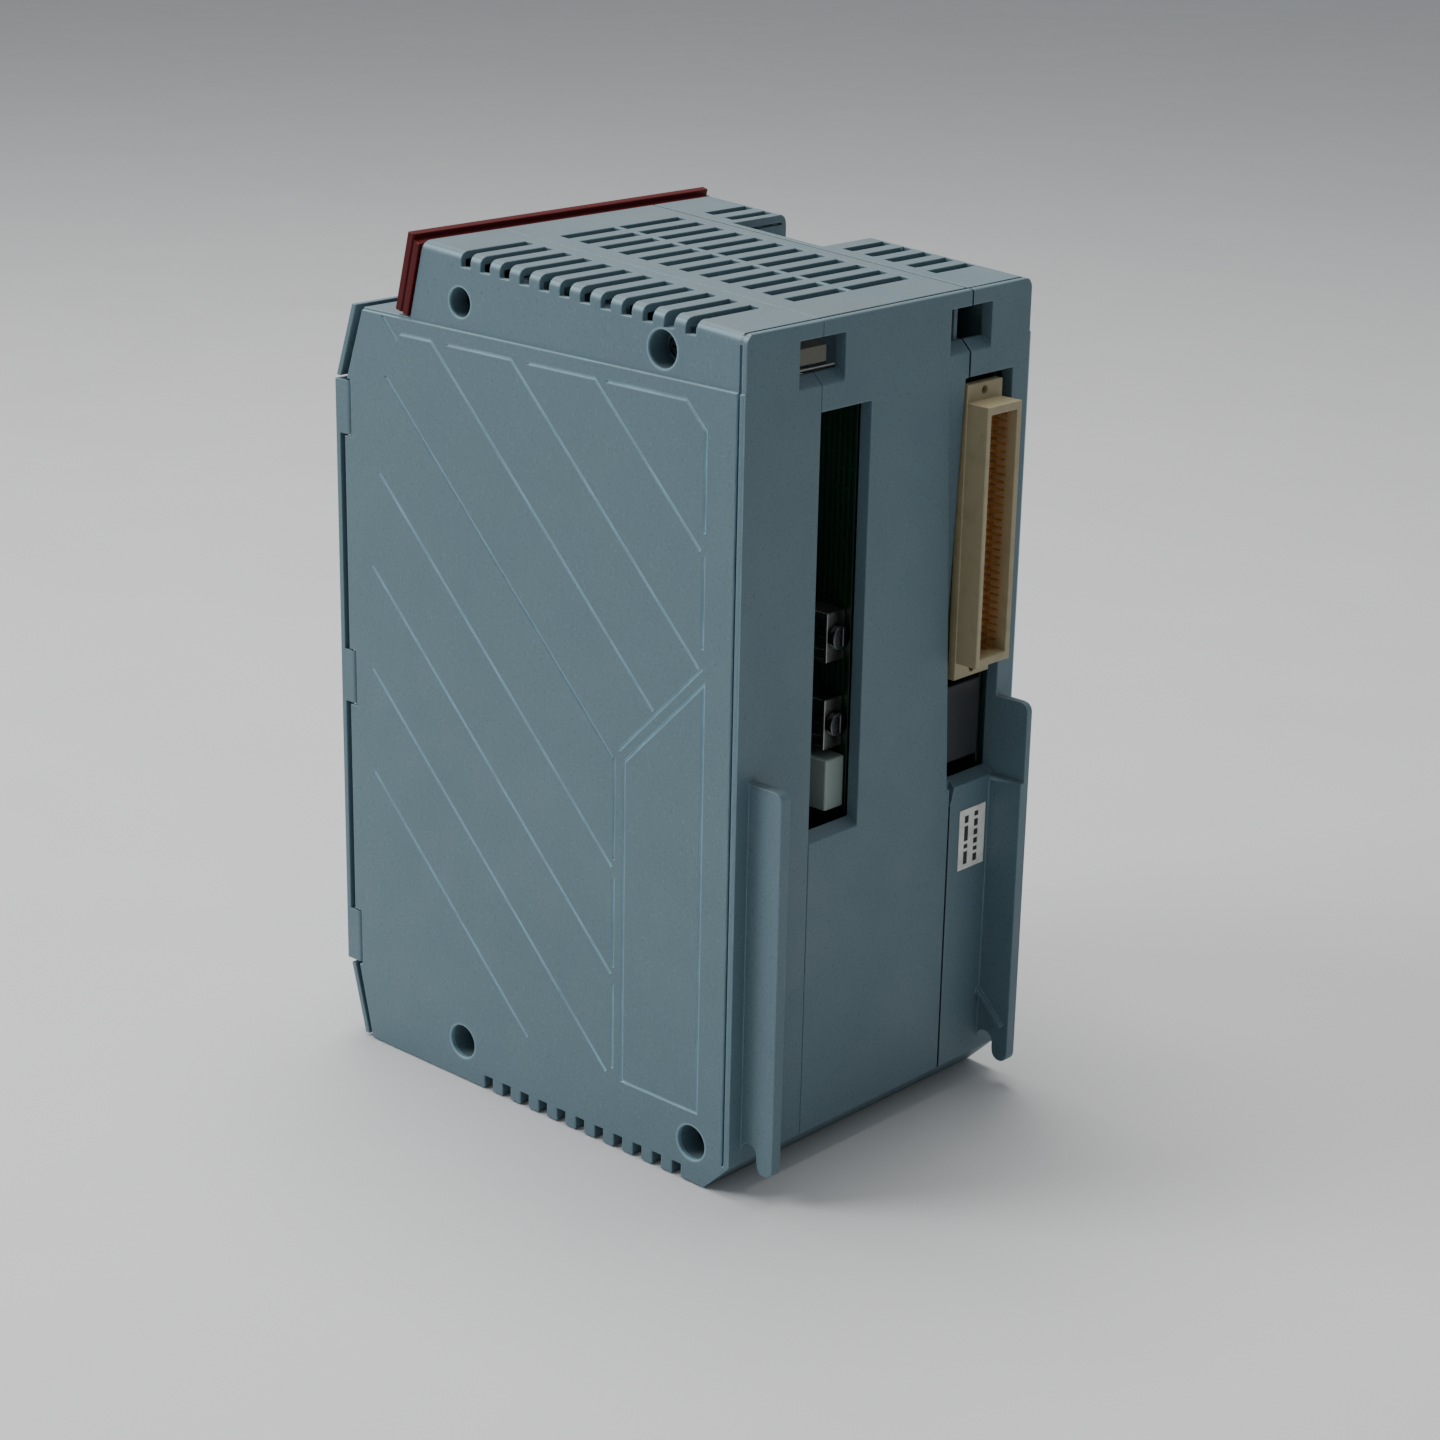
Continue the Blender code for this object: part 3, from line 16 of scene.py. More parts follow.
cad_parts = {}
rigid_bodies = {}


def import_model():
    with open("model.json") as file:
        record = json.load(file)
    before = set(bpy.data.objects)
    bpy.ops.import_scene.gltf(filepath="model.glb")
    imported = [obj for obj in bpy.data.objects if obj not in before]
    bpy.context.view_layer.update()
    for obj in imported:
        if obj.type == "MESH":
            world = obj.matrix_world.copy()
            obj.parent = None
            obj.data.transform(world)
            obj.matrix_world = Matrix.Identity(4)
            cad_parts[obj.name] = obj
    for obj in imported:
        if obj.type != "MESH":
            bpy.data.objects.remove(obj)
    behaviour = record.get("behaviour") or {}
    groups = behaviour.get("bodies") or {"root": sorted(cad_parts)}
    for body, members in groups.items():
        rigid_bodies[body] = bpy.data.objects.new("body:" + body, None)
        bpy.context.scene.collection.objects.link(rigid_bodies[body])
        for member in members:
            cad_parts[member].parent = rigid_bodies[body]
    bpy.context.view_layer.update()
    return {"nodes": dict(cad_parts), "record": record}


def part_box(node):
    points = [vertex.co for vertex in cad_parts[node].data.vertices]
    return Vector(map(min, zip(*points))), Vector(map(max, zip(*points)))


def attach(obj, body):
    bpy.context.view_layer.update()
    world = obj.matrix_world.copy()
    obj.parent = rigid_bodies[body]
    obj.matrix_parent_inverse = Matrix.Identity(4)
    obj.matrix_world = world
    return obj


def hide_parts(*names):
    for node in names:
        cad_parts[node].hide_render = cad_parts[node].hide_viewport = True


# Nothing of Blender's own start scene stays
for leftover in list(bpy.data.objects):
    bpy.data.objects.remove(leftover)

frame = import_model()

# Lengths below are in millimetres and angles in degrees, unless a line says otherwise
MM = 0.001

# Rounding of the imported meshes
WELD = 0.002
FLAT_ANGLE = 1.0  # faces that turn by less are joined
SHARP_ANGLE = 25.0  # edges that turn by more are rounded
CREASE_ANGLE = 50.0  # edges that turn by more after that are shaded as creases
BEVEL_SEGMENTS = 2
ROUND_ATTEMPTS = 20
SHORTEST_ROUNDED = 2.1  # length of the shortest edge that is rounded, in radii
NEAR_REACH = 1.5  # how far round a fold rounding stops at first, in radii
WIDE_REACH = 4  # and how far later
FOLD_AREA = 0.002  # square millimetres of a triangle turned over by a fold
TWIST_SHARE = 1.03  # a four-sided face is twisted when its triangles have more than this
TWIST_AREA = 0.01  # many times its area and this many square millimetres
LEFTOVER_LENGTH = 16.0  # edges this long and this sharp are tried again one by one
LEFTOVER_ANGLE = 60.0
END_MARGIN = 1.5  # left sharp at both ends of those that don't fit whole

# Edge where the top of the housings turns into their back
HOUSINGS = ("right_shell", "middle_housing", "left_shell")
BACK_PLANE = 82.6
BACK_LOWEST = 270.0
BACK_SHORTEST = 5.0
FACING = 0.7  # part of a normal along an axis that makes its face look that way
BACK_ROUND = 0.7

# Radii of the rounded edges, with the nodes that have them
EDGE_RADIUS = 0.22
OWN_RADII = {
    0.08: ("rear_label",),
    0.1: ("door_label",),
    0.15: ("encoder_insert", "hinge_pin_bottom", "hinge_pin_middle", "hinge_pin_top"),
    0.24: ("front_door",),
    0.3: ("bus_connector", "clamp_upper", "clamp_lower"),
    0.35: ("power_terminals",),
    0.4: ("signal_header", "mode_switch", "mode_lever", "release_slider", "heat_sink"),
    0.45: ("key_1", "key_2", "key_3", "key_4"),
    0.5: ("encoder_shell", "rack_latch", "power_module"),
    0.7: ("relay",),
    0.8: ("filter_block", "capacitor_1", "capacitor_2", "capacitor_3"),
}
RADIUS_OF = {node: radius for radius, nodes in OWN_RADII.items() for node in nodes}

# Wear, dust, dirt and painted light on the housings
RIM_DEPTH = 65.3  # rims of the outer side faces lie further out than this
# width and strength of the painted highlights on those rims and round the screw wells
RIM_WIDTH = 0.9
RIM_HIGHLIGHT = 0.5
WELL_RIM_HIGHLIGHT = 1.4
WELL_RADII = {"top_rear": 5.8, "top_front": 4.7, "bottom_rear": 5.8, "bottom_front": 5.8}
GROOVE_PLANES = (66.4, 66.9)  # the bottoms of the side panels' grooves, out along X
EDGE_GROOVE_SPAN = (80.0, 81.1)  # the fine groove ahead of the back face, along Y
EDGE_GROOVE_HEIGHTS = (270.8, 271.5)  # its bottom over the top
EDGE_GROOVE_SIDES = (65.4, 66.1)  # its bottom down the sides
SIDE_GROOVE_DIRT = 0.4
LEFT_SEAM = (-37.05, -36.15)  # along X; shade is painted into this seam
JOINT_DIRT_AND_SHADE = 0.85

# Bezel across the top of the front
BEZEL_LEAN = 14.43
DIGITS = 5
DIGIT_PITCH = 10.4
DIGIT_WIDTH = 6.0
DIGIT_HEIGHT = 10.4
DIGIT_SLANT = 0.14
SEGMENT_HALF = 0.62
DIGIT_THICKNESS = 0.2
SEGMENT_GAP = 0.2
STATUS_LENSES = 6
LENS_RADIUS = 1.0
LENS_MARGIN = 4.0
SIGN_THICKNESS = 0.08
KEY_SIGNS = {  # up, down, back and enter
    "key_1": [((-1.7, -1.2), (1.7, -1.2), (0.0, 1.6))],
    "key_2": [((-1.7, 1.2), (1.7, 1.2), (0.0, -1.6))],
    "key_3": [((1.2, -1.7), (1.2, 1.7), (-1.6, 0.0))],
    "key_4": [
        ((-1.7, -1.7), (-1.1, -1.7), (-1.1, 1.7), (-1.7, 1.7)),
        ((1.1, -1.7), (1.7, -1.7), (1.7, 1.7), (1.1, 1.7)),
        ((-1.0, -1.7), (1.0, -1.7), (1.0, -1.1), (-1.0, -1.1)),
        ((-1.0, 1.1), (1.0, 1.1), (1.0, 1.7), (-1.0, 1.7)),
    ],
}

# Contacts
BUS_PINS = (3, 32)  # columns and rows
BUS_PIN_HALF = 0.32
BUS_MARGINS = (1.6, 1.0)  # from the contacts' box to the outer pins, across and up
HEADER_PINS = (2, 24)
HEADER_PIN_HALF = 0.4
HEADER_MARGINS = (1.5, 2.0)
SOCKET_COLUMNS = ((44.1, 128.0, 8), (46.9, 129.4, 7))  # place across, lowest place and count
SOCKET_PITCH = 2.77
SOCKET_OUTSIDE = 0.62
SOCKET_BORE = 0.36
SLEEVE_SPAN = (0.2, 2.6)  # behind the front of the insert

# Power terminals
FIRST_POLE = -50.8
POLE_PITCH = 10.8
POLES = 8
DRIVER_HEIGHT = 44.5
DRIVER_FLOOR = -81.0
ENTRY_HALF = 3.4
ENTRY_LEVELS = (30.5, 37.5)
ENTRY_FLOOR = -78.0
CAGE_WALL = 0.7
CAGE_GAP = 0.15
CAGE_DEPTHS = (6.5, 0.2)  # ahead of the floor of the entry
CLAMP_RIBS = 4
RIB_HEIGHT = 0.4
SCREW_RADIUS = 2.5
SCREW_HEIGHT = 2.2
CROSS_HALF = 0.4
DISC_SHARE = 0.45  # of a screw head's height that lies under its cross
SURFACE_GAP = 0.05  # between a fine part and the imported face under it

# Print on the labels and on the front panel
PANEL_FACE = -72.0
DIAL_TICKS = 10
TICK_SPAN = (5.0, 6.4)  # from the middle of the dial
TICK_HALF = 0.16
PRINT_THICKNESS = 0.06
BAR_CYCLE = 101  # bars in place of wording repeat their lengths after this many
SYMBOL_PLACES = (16.0, 25.0, 34.0)
SYMBOL_WIDTH = 6.0
SYMBOL_LEVELS = (5.0, 19.0)
SYMBOL_LINE = 0.5

# Parts on the boards, at places along Y and Z: chips have a width and a height on the board, a
# height off it and legs down each side, and cans have a radius and a height
POWER_CHIPS = (
    ((44.0, 226.0), (6.0, 12.0), 2.2, 8),
    ((44.0, 204.0), (4.2, 6.0), 1.8, 4),
    ((22.0, 232.0), (8.0, 14.0), 2.4, 9),
    ((0.0, 226.0), (8.0, 16.0), 2.4, 10),
    ((-20.0, 190.0), (6.0, 10.0), 2.2, 7),
    ((40.0, 105.0), (6.0, 10.0), 2.2, 7),
)
CONTROL_CHIPS = (
    ((20.0, 210.0), (18.0, 18.0), 3.0, 12),
    ((-15.0, 210.0), (12.0, 18.0), 2.4, 12),
    ((48.0, 226.0), (8.0, 16.0), 2.4, 10),
    ((68.0, 100.0), (6.0, 10.0), 2.2, 7),
    ((20.0, 160.0), (14.0, 14.0), 2.4, 10),
    ((-20.0, 150.0), (8.0, 16.0), 2.4, 10),
)
POWER_CANS = (((30.0, 192.0), 3.2, 9.0), ((20.0, 192.0), 3.2, 9.0), ((6.0, 200.0), 5.0, 12.0))
RESISTORS = ((44.0, 214.0), (48.0, 214.0), (34.0, 238.0), (34.0, 234.0), (40.0, 198.0))

# Camera, with its place in metres
CAMERA_PLACE = (0.68985, 0.64474, 0.4460)
CAMERA_AZIMUTH = 132.402
CAMERA_ELEVATION = 19.005
CAMERA_ROLL = 1.147
SENSOR = 36.0
LENS = 75.5

# Stage, in metres
FLOOR_SIZE = 6.0
FLOOR_DROP = 0.0005
AIM = (0.0, 0.0, 0.14)
ROOM_STRENGTH = 0.42

# Colours of the surfaces
COLOURS = {
    "housing": (0.094, 0.158, 0.190),
    "bezel": (0.075, 0.0015, 0.003),
    "bezel_face": (0.125, 0.003, 0.006),
    "bezel_worn": (0.20, 0.012, 0.016),
    "smoked_window": (0.05, 0.012, 0.012),
    "pane": (0.52, 0.08, 0.07),
    "pane_smear": (0.42, 0.06, 0.05),
    "light_bar": (0.55, 0.60, 0.50),
    "key": (0.24, 0.26, 0.27),
    "board": (0.004, 0.024, 0.010),
    "terminal": (0.018, 0.022, 0.025),
    "connector": (0.33, 0.285, 0.17),
    # painted reflection of the gold pins in the connector's well
    "connector_gold_reflection": (0.46, 0.28, 0.14),
    "contact": (0.76, 0.50, 0.22),
    "steel": (0.55, 0.55, 0.53),
    "reset": (0.36, 0.012, 0.014),
    "lever": (0.55, 0.54, 0.47),
    "latch": (0.105, 0.105, 0.082),
    "label": (0.80, 0.82, 0.76),
    "label_dirt": (0.30, 0.30, 0.25),
    "dust": (0.17, 0.155, 0.145),
    "ink": (0.022, 0.026, 0.030),
    "white_print": (0.60, 0.62, 0.60),
    "component": (0.028, 0.030, 0.034),
    "relay": (0.27, 0.345, 0.315),
    "aluminium": (0.50, 0.51, 0.52),
    "black_steel": (0.035, 0.037, 0.042),
    "clamp": (0.30, 0.30, 0.29),
    "clamp_screw": (0.16, 0.16, 0.165),
    "capacitor": (0.012, 0.018, 0.050),
    "choke": (0.50, 0.20, 0.07),
    "segment": (0.85, 0.42, 0.36),
    "solder": (0.55, 0.55, 0.56),
    "floor": (0.60, 0.61, 0.62),
    "floor_dark": (0.58, 0.59, 0.60),
    "floor_pale": (0.62, 0.63, 0.64),
    "room": (0.82, 0.85, 0.88),
    "white_light": (1.0, 1.0, 1.0),
    "warm_light": (1.0, 0.975, 0.935),
}

BODY_OF = {node: body for body, nodes in frame["record"]["behaviour"]["bodies"].items() for node in nodes}
SLOT_OF = {part["node"]: part["material_slot"] for part in frame["record"]["subparts"]}


# Materials


class Look:
    """A material whose nodes are added by short calls."""

    def __init__(self, name, colour, roughness, metallic=0.0):
        self.material = bpy.data.materials.new(name)
        self.material.use_nodes = True
        self.tree = self.material.node_tree
        self.shader = self.tree.nodes["Principled BSDF"]
        self.shader.inputs["Metallic"].default_value = metallic
        self.set("Base Color", (*colour, 1.0))
        self.set("Roughness", roughness)
        self.place = self.node("TexCoord").outputs["Object"]

    def feed(self, socket, value):
        if isinstance(value, bpy.types.NodeSocket):
            self.tree.links.new(value, socket)
        else:
            socket.default_value = value

    def set(self, name, value):
        self.feed(self.shader.inputs[name], value)

    def node(self, kind, settings=None, **inputs):
        made = self.tree.nodes.new("ShaderNode" + kind)
        for key, value in (settings or {}).items():
            setattr(made, key, value)
        for name, value in inputs.items():
            self.feed(made.inputs[name.replace("_", " ")], value)
        return made

    def stretched(self, factors):
        """The object's own coordinates, stretched along the axes."""
        return self.node("Mapping", Vector=self.place, Scale=factors).outputs["Vector"]

    def noise(self, size, detail=2.0, factors=None):
        """Noise from 0 to 1 with features of about that size."""
        place = self.stretched(factors) if factors else self.place
        return self.node("TexNoise", Vector=place, Scale=1.0 / (size * MM), Detail=detail).outputs["Fac"]

    def ranged(self, value, low, high, to_low=0.0, to_high=1.0):
        """A value carried from one range to another and held at its ends."""
        limits = {"From_Min": low, "From_Max": high, "To_Min": to_low, "To_Max": to_high}
        return self.node("MapRange", Value=value, **limits).outputs["Result"]

    def maths(self, operation, *values):
        made = self.node("Math", {"operation": operation})
        for socket, value in zip(made.inputs, values):
            self.feed(socket, value)
        return made.outputs["Value"]

    def vectors(self, operation, first, second, output="Value"):
        made = self.node("VectorMath", {"operation": operation})
        self.feed(made.inputs[0], first)
        self.feed(made.inputs[1], second)
        return made.outputs[output]

    def axes(self, source="Object"):
        """Parts along X, Y and Z of the object's coordinates, or of its normals."""
        return self.node("SeparateXYZ", Vector=self.node("TexCoord").outputs[source]).outputs

    def mixed(self, share, first, second):
        """One colour or another by a share from 0 to 1; the sockets are the node's colour ones."""
        made = self.node("Mix", {"data_type": "RGBA"})
        for index, value in ((0, share), (6, first), (7, second)):
            self.feed(made.inputs[index], value)
        return made.outputs[2]

    def softened(self, radius, turn=0.12):
        """Normals carried round the edges, and 1 near edges falling to 0 on flats."""
        soft = self.node("Bevel", {"samples": 6}, Radius=radius * MM).outputs["Normal"]
        hard = self.node("NewGeometry").outputs["Normal"]
        return soft, self.ranged(self.vectors("DOT_PRODUCT", soft, hard), 1.0, 1.0 - turn)

    def set_gloss(self, low, high, size, detail=2.0):
        """Roughness that drifts between two values over patches of that size."""
        self.set("Roughness", self.ranged(self.noise(size, detail), 0.3, 0.7, low, high))

    def bump(self, height, depth, normal=None):
        """Normals of a relief with that depth in millimetres."""
        made = self.node("Bump", Height=height, Distance=depth * MM, Strength=1.0)
        if normal:
            self.feed(made.inputs["Normal"], normal)
        return made.outputs["Normal"]


def tinted(colour, factor=1.0):
    """An opaque colour made paler or darker."""
    return (*[min(1.0, channel * factor) for channel in colour[:3]], 1.0)


def between(look, value, low, high):
    """1 where a value in metres lies between two limits in millimetres."""
    above = look.maths("GREATER_THAN", value, low * MM)
    below = look.maths("LESS_THAN", value, high * MM)
    return look.maths("MULTIPLY", above, below)


def groove_dust_and_light(look):
    """Pale dust in the shallow grooves of the side panels, patchy along them, and painted light that lifts
    the shade in the grooves.
    """
    away = look.maths("ABSOLUTE", look.axes()["X"])
    patchy = look.ranged(look.noise(12.0, 4.0), 0.3, 0.7, 0.45, 0.9)
    return look.maths("MULTIPLY", between(look, away, *GROOVE_PLANES), patchy)


def joint_dirt_and_seam_shade(look):
    """Dark dirt in the fine groove ahead of the back face, and painted shade in the seam of the left
    shell.
    """
    place = look.axes()
    away = look.maths("ABSOLUTE", place["X"])
    over_top = between(look, place["Z"], *EDGE_GROOVE_HEIGHTS)
    down_side = look.maths("MULTIPLY", between(look, away, *EDGE_GROOVE_SIDES), SIDE_GROOVE_DIRT)
    either = look.maths("MAXIMUM", over_top, down_side)
    groove = look.maths("MULTIPLY", either, between(look, place["Y"], *EDGE_GROOVE_SPAN))
    # painted shade in the seam between the left shell and the middle housing
    seam = between(look, place["X"], *LEFT_SEAM)
    return look.maths("MULTIPLY", look.maths("MAXIMUM", groove, seam), JOINT_DIRT_AND_SHADE)


def well_rim_highlights(look):
    """Painted highlights in rings round the mouths of the screw wells."""
    flat = look.vectors("MULTIPLY", look.place, (0.0, 1.0, 1.0), "Vector")
    rings = []
    for name, radius in WELL_RADII.items():
        low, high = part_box("right_screw_" + name)
        middle = (0.0, (low[1] + high[1]) / 2, (low[2] + high[2]) / 2)
        away = look.vectors("DISTANCE", flat, middle)
        off = look.maths("ABSOLUTE", look.maths("SUBTRACT", away, radius * MM))
        rings.append(look.ranged(off, RIM_WIDTH * MM, 0.3 * RIM_WIDTH * MM))
    brightest = rings[0]
    for ring in rings[1:]:
        brightest = look.maths("MAXIMUM", brightest, ring)
    return brightest


def painted_rim_highlights(look):
    """Painted highlights on the rounded rims of the outer side faces and round the screw wells."""
    turned = look.maths("ABSOLUTE", look.axes("Normal")["X"])
    round_part = look.maths("MULTIPLY", look.ranged(turned, 0.15, 0.35), look.ranged(turned, 0.97, 0.85))
    outside = look.maths("GREATER_THAN", look.maths("ABSOLUTE", look.axes()["X"]), RIM_DEPTH * MM)
    rims = look.maths("MAXIMUM", round_part, look.maths("MULTIPLY", well_rim_highlights(look), WELL_RIM_HIGHLIGHT))
    return look.maths("MULTIPLY", look.maths("MULTIPLY", rims, outside), RIM_HIGHLIGHT)


def settled_dust(look):
    """Thin dust on the faces that look straight up."""
    upward = look.axes("Normal")["Z"]
    patchy = look.ranged(look.noise(30.0, 5.0), 0.3, 0.75, 0.12, 0.34)
    return look.maths("MULTIPLY", look.ranged(upward, 0.85, 0.98), patchy)


def moulded(name, colour, roughness, depth=0.02, edge=0.55, speck=0.3, radius=0.6, grooved=False):
    """Moulded plastic: etched grain, slow tone changes, specks, scuffs, and paler edges that are partly
    wear and partly a painted highlight.
    """
    look = Look(name, colour, roughness)
    toned = look.mixed(look.noise(45.0, 3.0), tinted(colour, 0.93), tinted(colour, 1.07))
    pale = look.ranged(look.noise(0.9, 2.0), 0.58, 0.72, 0.0, speck)
    specked = look.mixed(pale, toned, tinted(colour, 1.6))
    dark = look.ranged(look.noise(1.1, 2.0), 0.42, 0.30, 0.0, speck)
    pitted = look.mixed(dark, specked, tinted(colour, 0.5))
    soft, near_edge = look.softened(radius)
    patchy = look.ranged(look.noise(7.0, 4.0), 0.3, 0.65, 0.35, 1.0)
    # paler edges: partly wear, partly a painted highlight along the rounded edges
    paled_edges = look.maths("MULTIPLY", near_edge, look.maths("MULTIPLY", patchy, edge))
    surface = look.mixed(paled_edges, pitted, tinted(colour, 2.1))
    if grooved:
        surface = look.mixed(settled_dust(look), surface, tinted(COLOURS["dust"]))
        # painted highlights on the rims of the side faces and round the screw wells
        surface = look.mixed(painted_rim_highlights(look), surface, tinted(colour, 2.2))
        # groove dust, and painted light that lifts the shade in the grooves
        surface = look.mixed(groove_dust_and_light(look), surface, tinted(colour, 2.9))
        # dirt in the fine groove, and painted shade in the left seam
        surface = look.mixed(joint_dirt_and_seam_shade(look), surface, tinted(colour, 0.12))
    look.set("Base Color", surface)
    look.set_gloss(roughness - 0.06, roughness + 0.09, 18.0, 4.0)
    look.set("Normal", look.bump(look.noise(0.5, 2.0), depth, soft))
    return look.material


def two_tone_bezel():
    """Dark red plastic that is brighter on its front face."""
    face, side = COLOURS["bezel_face"], COLOURS["bezel"]
    look = Look("bezel_plastic", side, 0.35)
    soft, near_edge = look.softened(0.5)
    lean = math.radians(BEZEL_LEAN)
    normal = look.node("NewGeometry").outputs["Normal"]
    facing = look.vectors("DOT_PRODUCT", normal, (0.0, -math.cos(lean), math.sin(lean)))
    front = look.ranged(facing, 0.7, 0.95)
    toned = look.mixed(front, tinted(side), tinted(face))
    cloudy = look.mixed(look.ranged(look.noise(14.0, 4.0), 0.3, 0.8, 0.0, 0.3), toned, tinted(side, 0.7))
    paled_edges = look.maths("MULTIPLY", near_edge, look.ranged(look.noise(5.0, 4.0), 0.35, 0.7, 0.05, 0.35))
    look.set("Base Color", look.mixed(paled_edges, cloudy, tinted(COLOURS["bezel_worn"])))
    look.set("Specular IOR Level", 0.22)
    look.set_gloss(0.36, 0.5, 9.0, 4.0)
    look.set("Normal", look.bump(look.noise(0.7, 2.0), 0.008, soft))
    return look.material


def connector_shroud():
    """Cream plastic with handling dirt, a painted orange reflection of the gold pins at the bottom of the
    well, and a painted top light.
    """
    cream, reflected_gold = COLOURS["connector"], COLOURS["connector_gold_reflection"]
    look = Look("connector_shroud", cream, 0.42)
    soft, near_edge = look.softened(0.4)
    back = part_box("bus_connector")[1][1]
    low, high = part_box("bus_contacts")
    place = look.axes()
    # painted reflection of the gold pins, strongest at the bottom of the well
    inside = look.ranged(place["Y"], back - 1.5 * MM, back - 6.0 * MM, 0.0, 0.9)
    for axis, index in (("X", 0), ("Z", 2)):
        middle = (low[index] + high[index]) / 2
        half = (high[index] - low[index]) / 2 + 0.6 * MM
        away = look.maths("ABSOLUTE", look.maths("SUBTRACT", place[axis], middle))
        inside = look.maths("MULTIPLY", inside, look.maths("LESS_THAN", away, half))
    toned = look.mixed(inside, tinted(cream), tinted(reflected_gold))
    dirt = look.ranged(look.noise(6.0, 5.0), 0.45, 0.75, 0.0, 0.35)
    dirty = look.mixed(dirt, toned, tinted(cream, 0.5))
    # faces that look up are painted paler: dust, and a painted top light
    upward = look.axes("Normal")["Z"]
    dust_and_top_light = look.mixed(look.ranged(upward, 0.6, 0.95, 0.0, 0.7), dirty, tinted(cream, 1.7))
    look.set("Base Color", look.mixed(look.maths("MULTIPLY", near_edge, 0.4), dust_and_top_light, tinted(cream, 1.5)))
    look.set_gloss(0.34, 0.5, 4.0, 3.0)
    look.set("Normal", look.bump(look.noise(0.8, 2.0), 0.01, soft))
    return look.material


def metal(name, colour, roughness, brush=(1.0, 1.0, 12.0), scratch=0.006):
    """Plated metal with a brushed direction, stains and small differences in gloss."""
    look = Look(name, colour, roughness, 1.0)
    lines = look.noise(0.5, 3.0, brush)
    look.set("Roughness", look.ranged(lines, 0.3, 0.7, roughness - 0.08, roughness + 0.12))
    stain = look.ranged(look.noise(3.0, 3.0), 0.35, 0.75)
    look.set("Base Color", look.mixed(stain, tinted(colour, 1.08), tinted(colour, 0.7)))
    look.set("Normal", look.bump(lines, scratch))
    return look.material


def board_lacquer():
    """Green lacquer over tracks that run along the board, darker in blotches."""
    colour = COLOURS["board"]
    look = Look("board_lacquer", colour, 0.35)
    upright = look.node("Mapping", Vector=look.place, Rotation=(0.0, math.radians(90), 0.0))
    tracks = look.node(
        "TexBrick", {"offset": 0.37}, Vector=upright.outputs["Vector"], Scale=1.0,
        Mortar_Size=0.4 * MM, Brick_Width=17 * MM, Row_Height=2.1 * MM,
    ).outputs["Fac"]
    copper = look.mixed(look.maths("MULTIPLY", tracks, 0.6), tinted(colour, 0.8), tinted(colour, 2.4))
    look.set("Base Color", look.mixed(look.noise(15.0, 3.0), copper, tinted(colour, 0.7)))
    look.set_gloss(0.28, 0.45, 2.0)
    look.set("Normal", look.bump(tracks, 0.03))
    return look.material


def paper_film():
    """White film, slightly yellowed and dirty in patches."""
    colour = COLOURS["label"]
    look = Look("paper_film", colour, 0.45)
    dirt = look.ranged(look.noise(5.0, 5.0), 0.42, 0.8, 0.0, 0.5)
    look.set("Base Color", look.mixed(dirt, tinted(colour), tinted(COLOURS["label_dirt"])))
    look.set_gloss(0.38, 0.55, 3.0)
    look.set("Normal", look.bump(look.noise(1.2), 0.02))
    return look.material


def print_ink(name, colour):
    """Printed ink, thinner in places."""
    look = Look(name, colour, 0.4)
    look.set("Base Color", look.mixed(look.noise(0.8, 3.0), tinted(colour, 0.8), tinted(colour, 1.35)))
    look.set_gloss(0.35, 0.5, 1.5)
    return look.material


def smoked_pane():
    """Dark red see-through acrylic with smears."""
    clear, smeared = tinted(COLOURS["pane"]), tinted(COLOURS["pane_smear"])
    look = Look("smoked_pane", COLOURS["smoked_window"], 0.06)
    look.set("Base Color", look.mixed(look.noise(20.0), clear, smeared))
    look.set("Transmission Weight", 0.93)
    look.set("IOR", 1.49)
    look.set("Roughness", look.ranged(look.noise(6.0, 4.0), 0.4, 0.8, 0.04, 0.14))
    return look.material


def shrink_sleeve():
    """Shrink sleeve: glossy, with faint wrinkles round the can."""
    colour = COLOURS["capacitor"]
    look = Look("shrink_sleeve", colour, 0.3)
    look.set("Base Color", look.mixed(look.noise(8.0), tinted(colour, 0.7), tinted(colour, 1.6)))
    look.set_gloss(0.22, 0.4, 3.0)
    look.set("Normal", look.bump(look.noise(2.0, 3.0, (6.0, 1.0, 1.0)), 0.08))
    return look.material


def wound_wire():
    """Turns of enamelled wire lying side by side round the core."""
    colour = COLOURS["choke"]
    look = Look("wound_wire", colour, 0.3, 0.7)
    turns = look.node(
        "TexWave", {"bands_direction": "X"}, Vector=look.place, Scale=0.5 / (1.2 * MM), Distortion=0.6
    ).outputs["Fac"]
    look.set("Base Color", look.mixed(turns, tinted(colour, 0.35), tinted(colour, 1.15)))
    look.set("Normal", look.bump(turns, 0.3))
    return look.material


def floor_paper():
    """Matt grey paper with slow changes of tone."""
    dark, pale = tinted(COLOURS["floor_dark"]), tinted(COLOURS["floor_pale"])
    look = Look("floor_paper", COLOURS["floor"], 0.55)
    look.set_gloss(0.48, 0.6, 60.0, 3.0)
    look.set("Base Color", look.mixed(look.noise(150.0, 3.0), dark, pale))
    return look.material


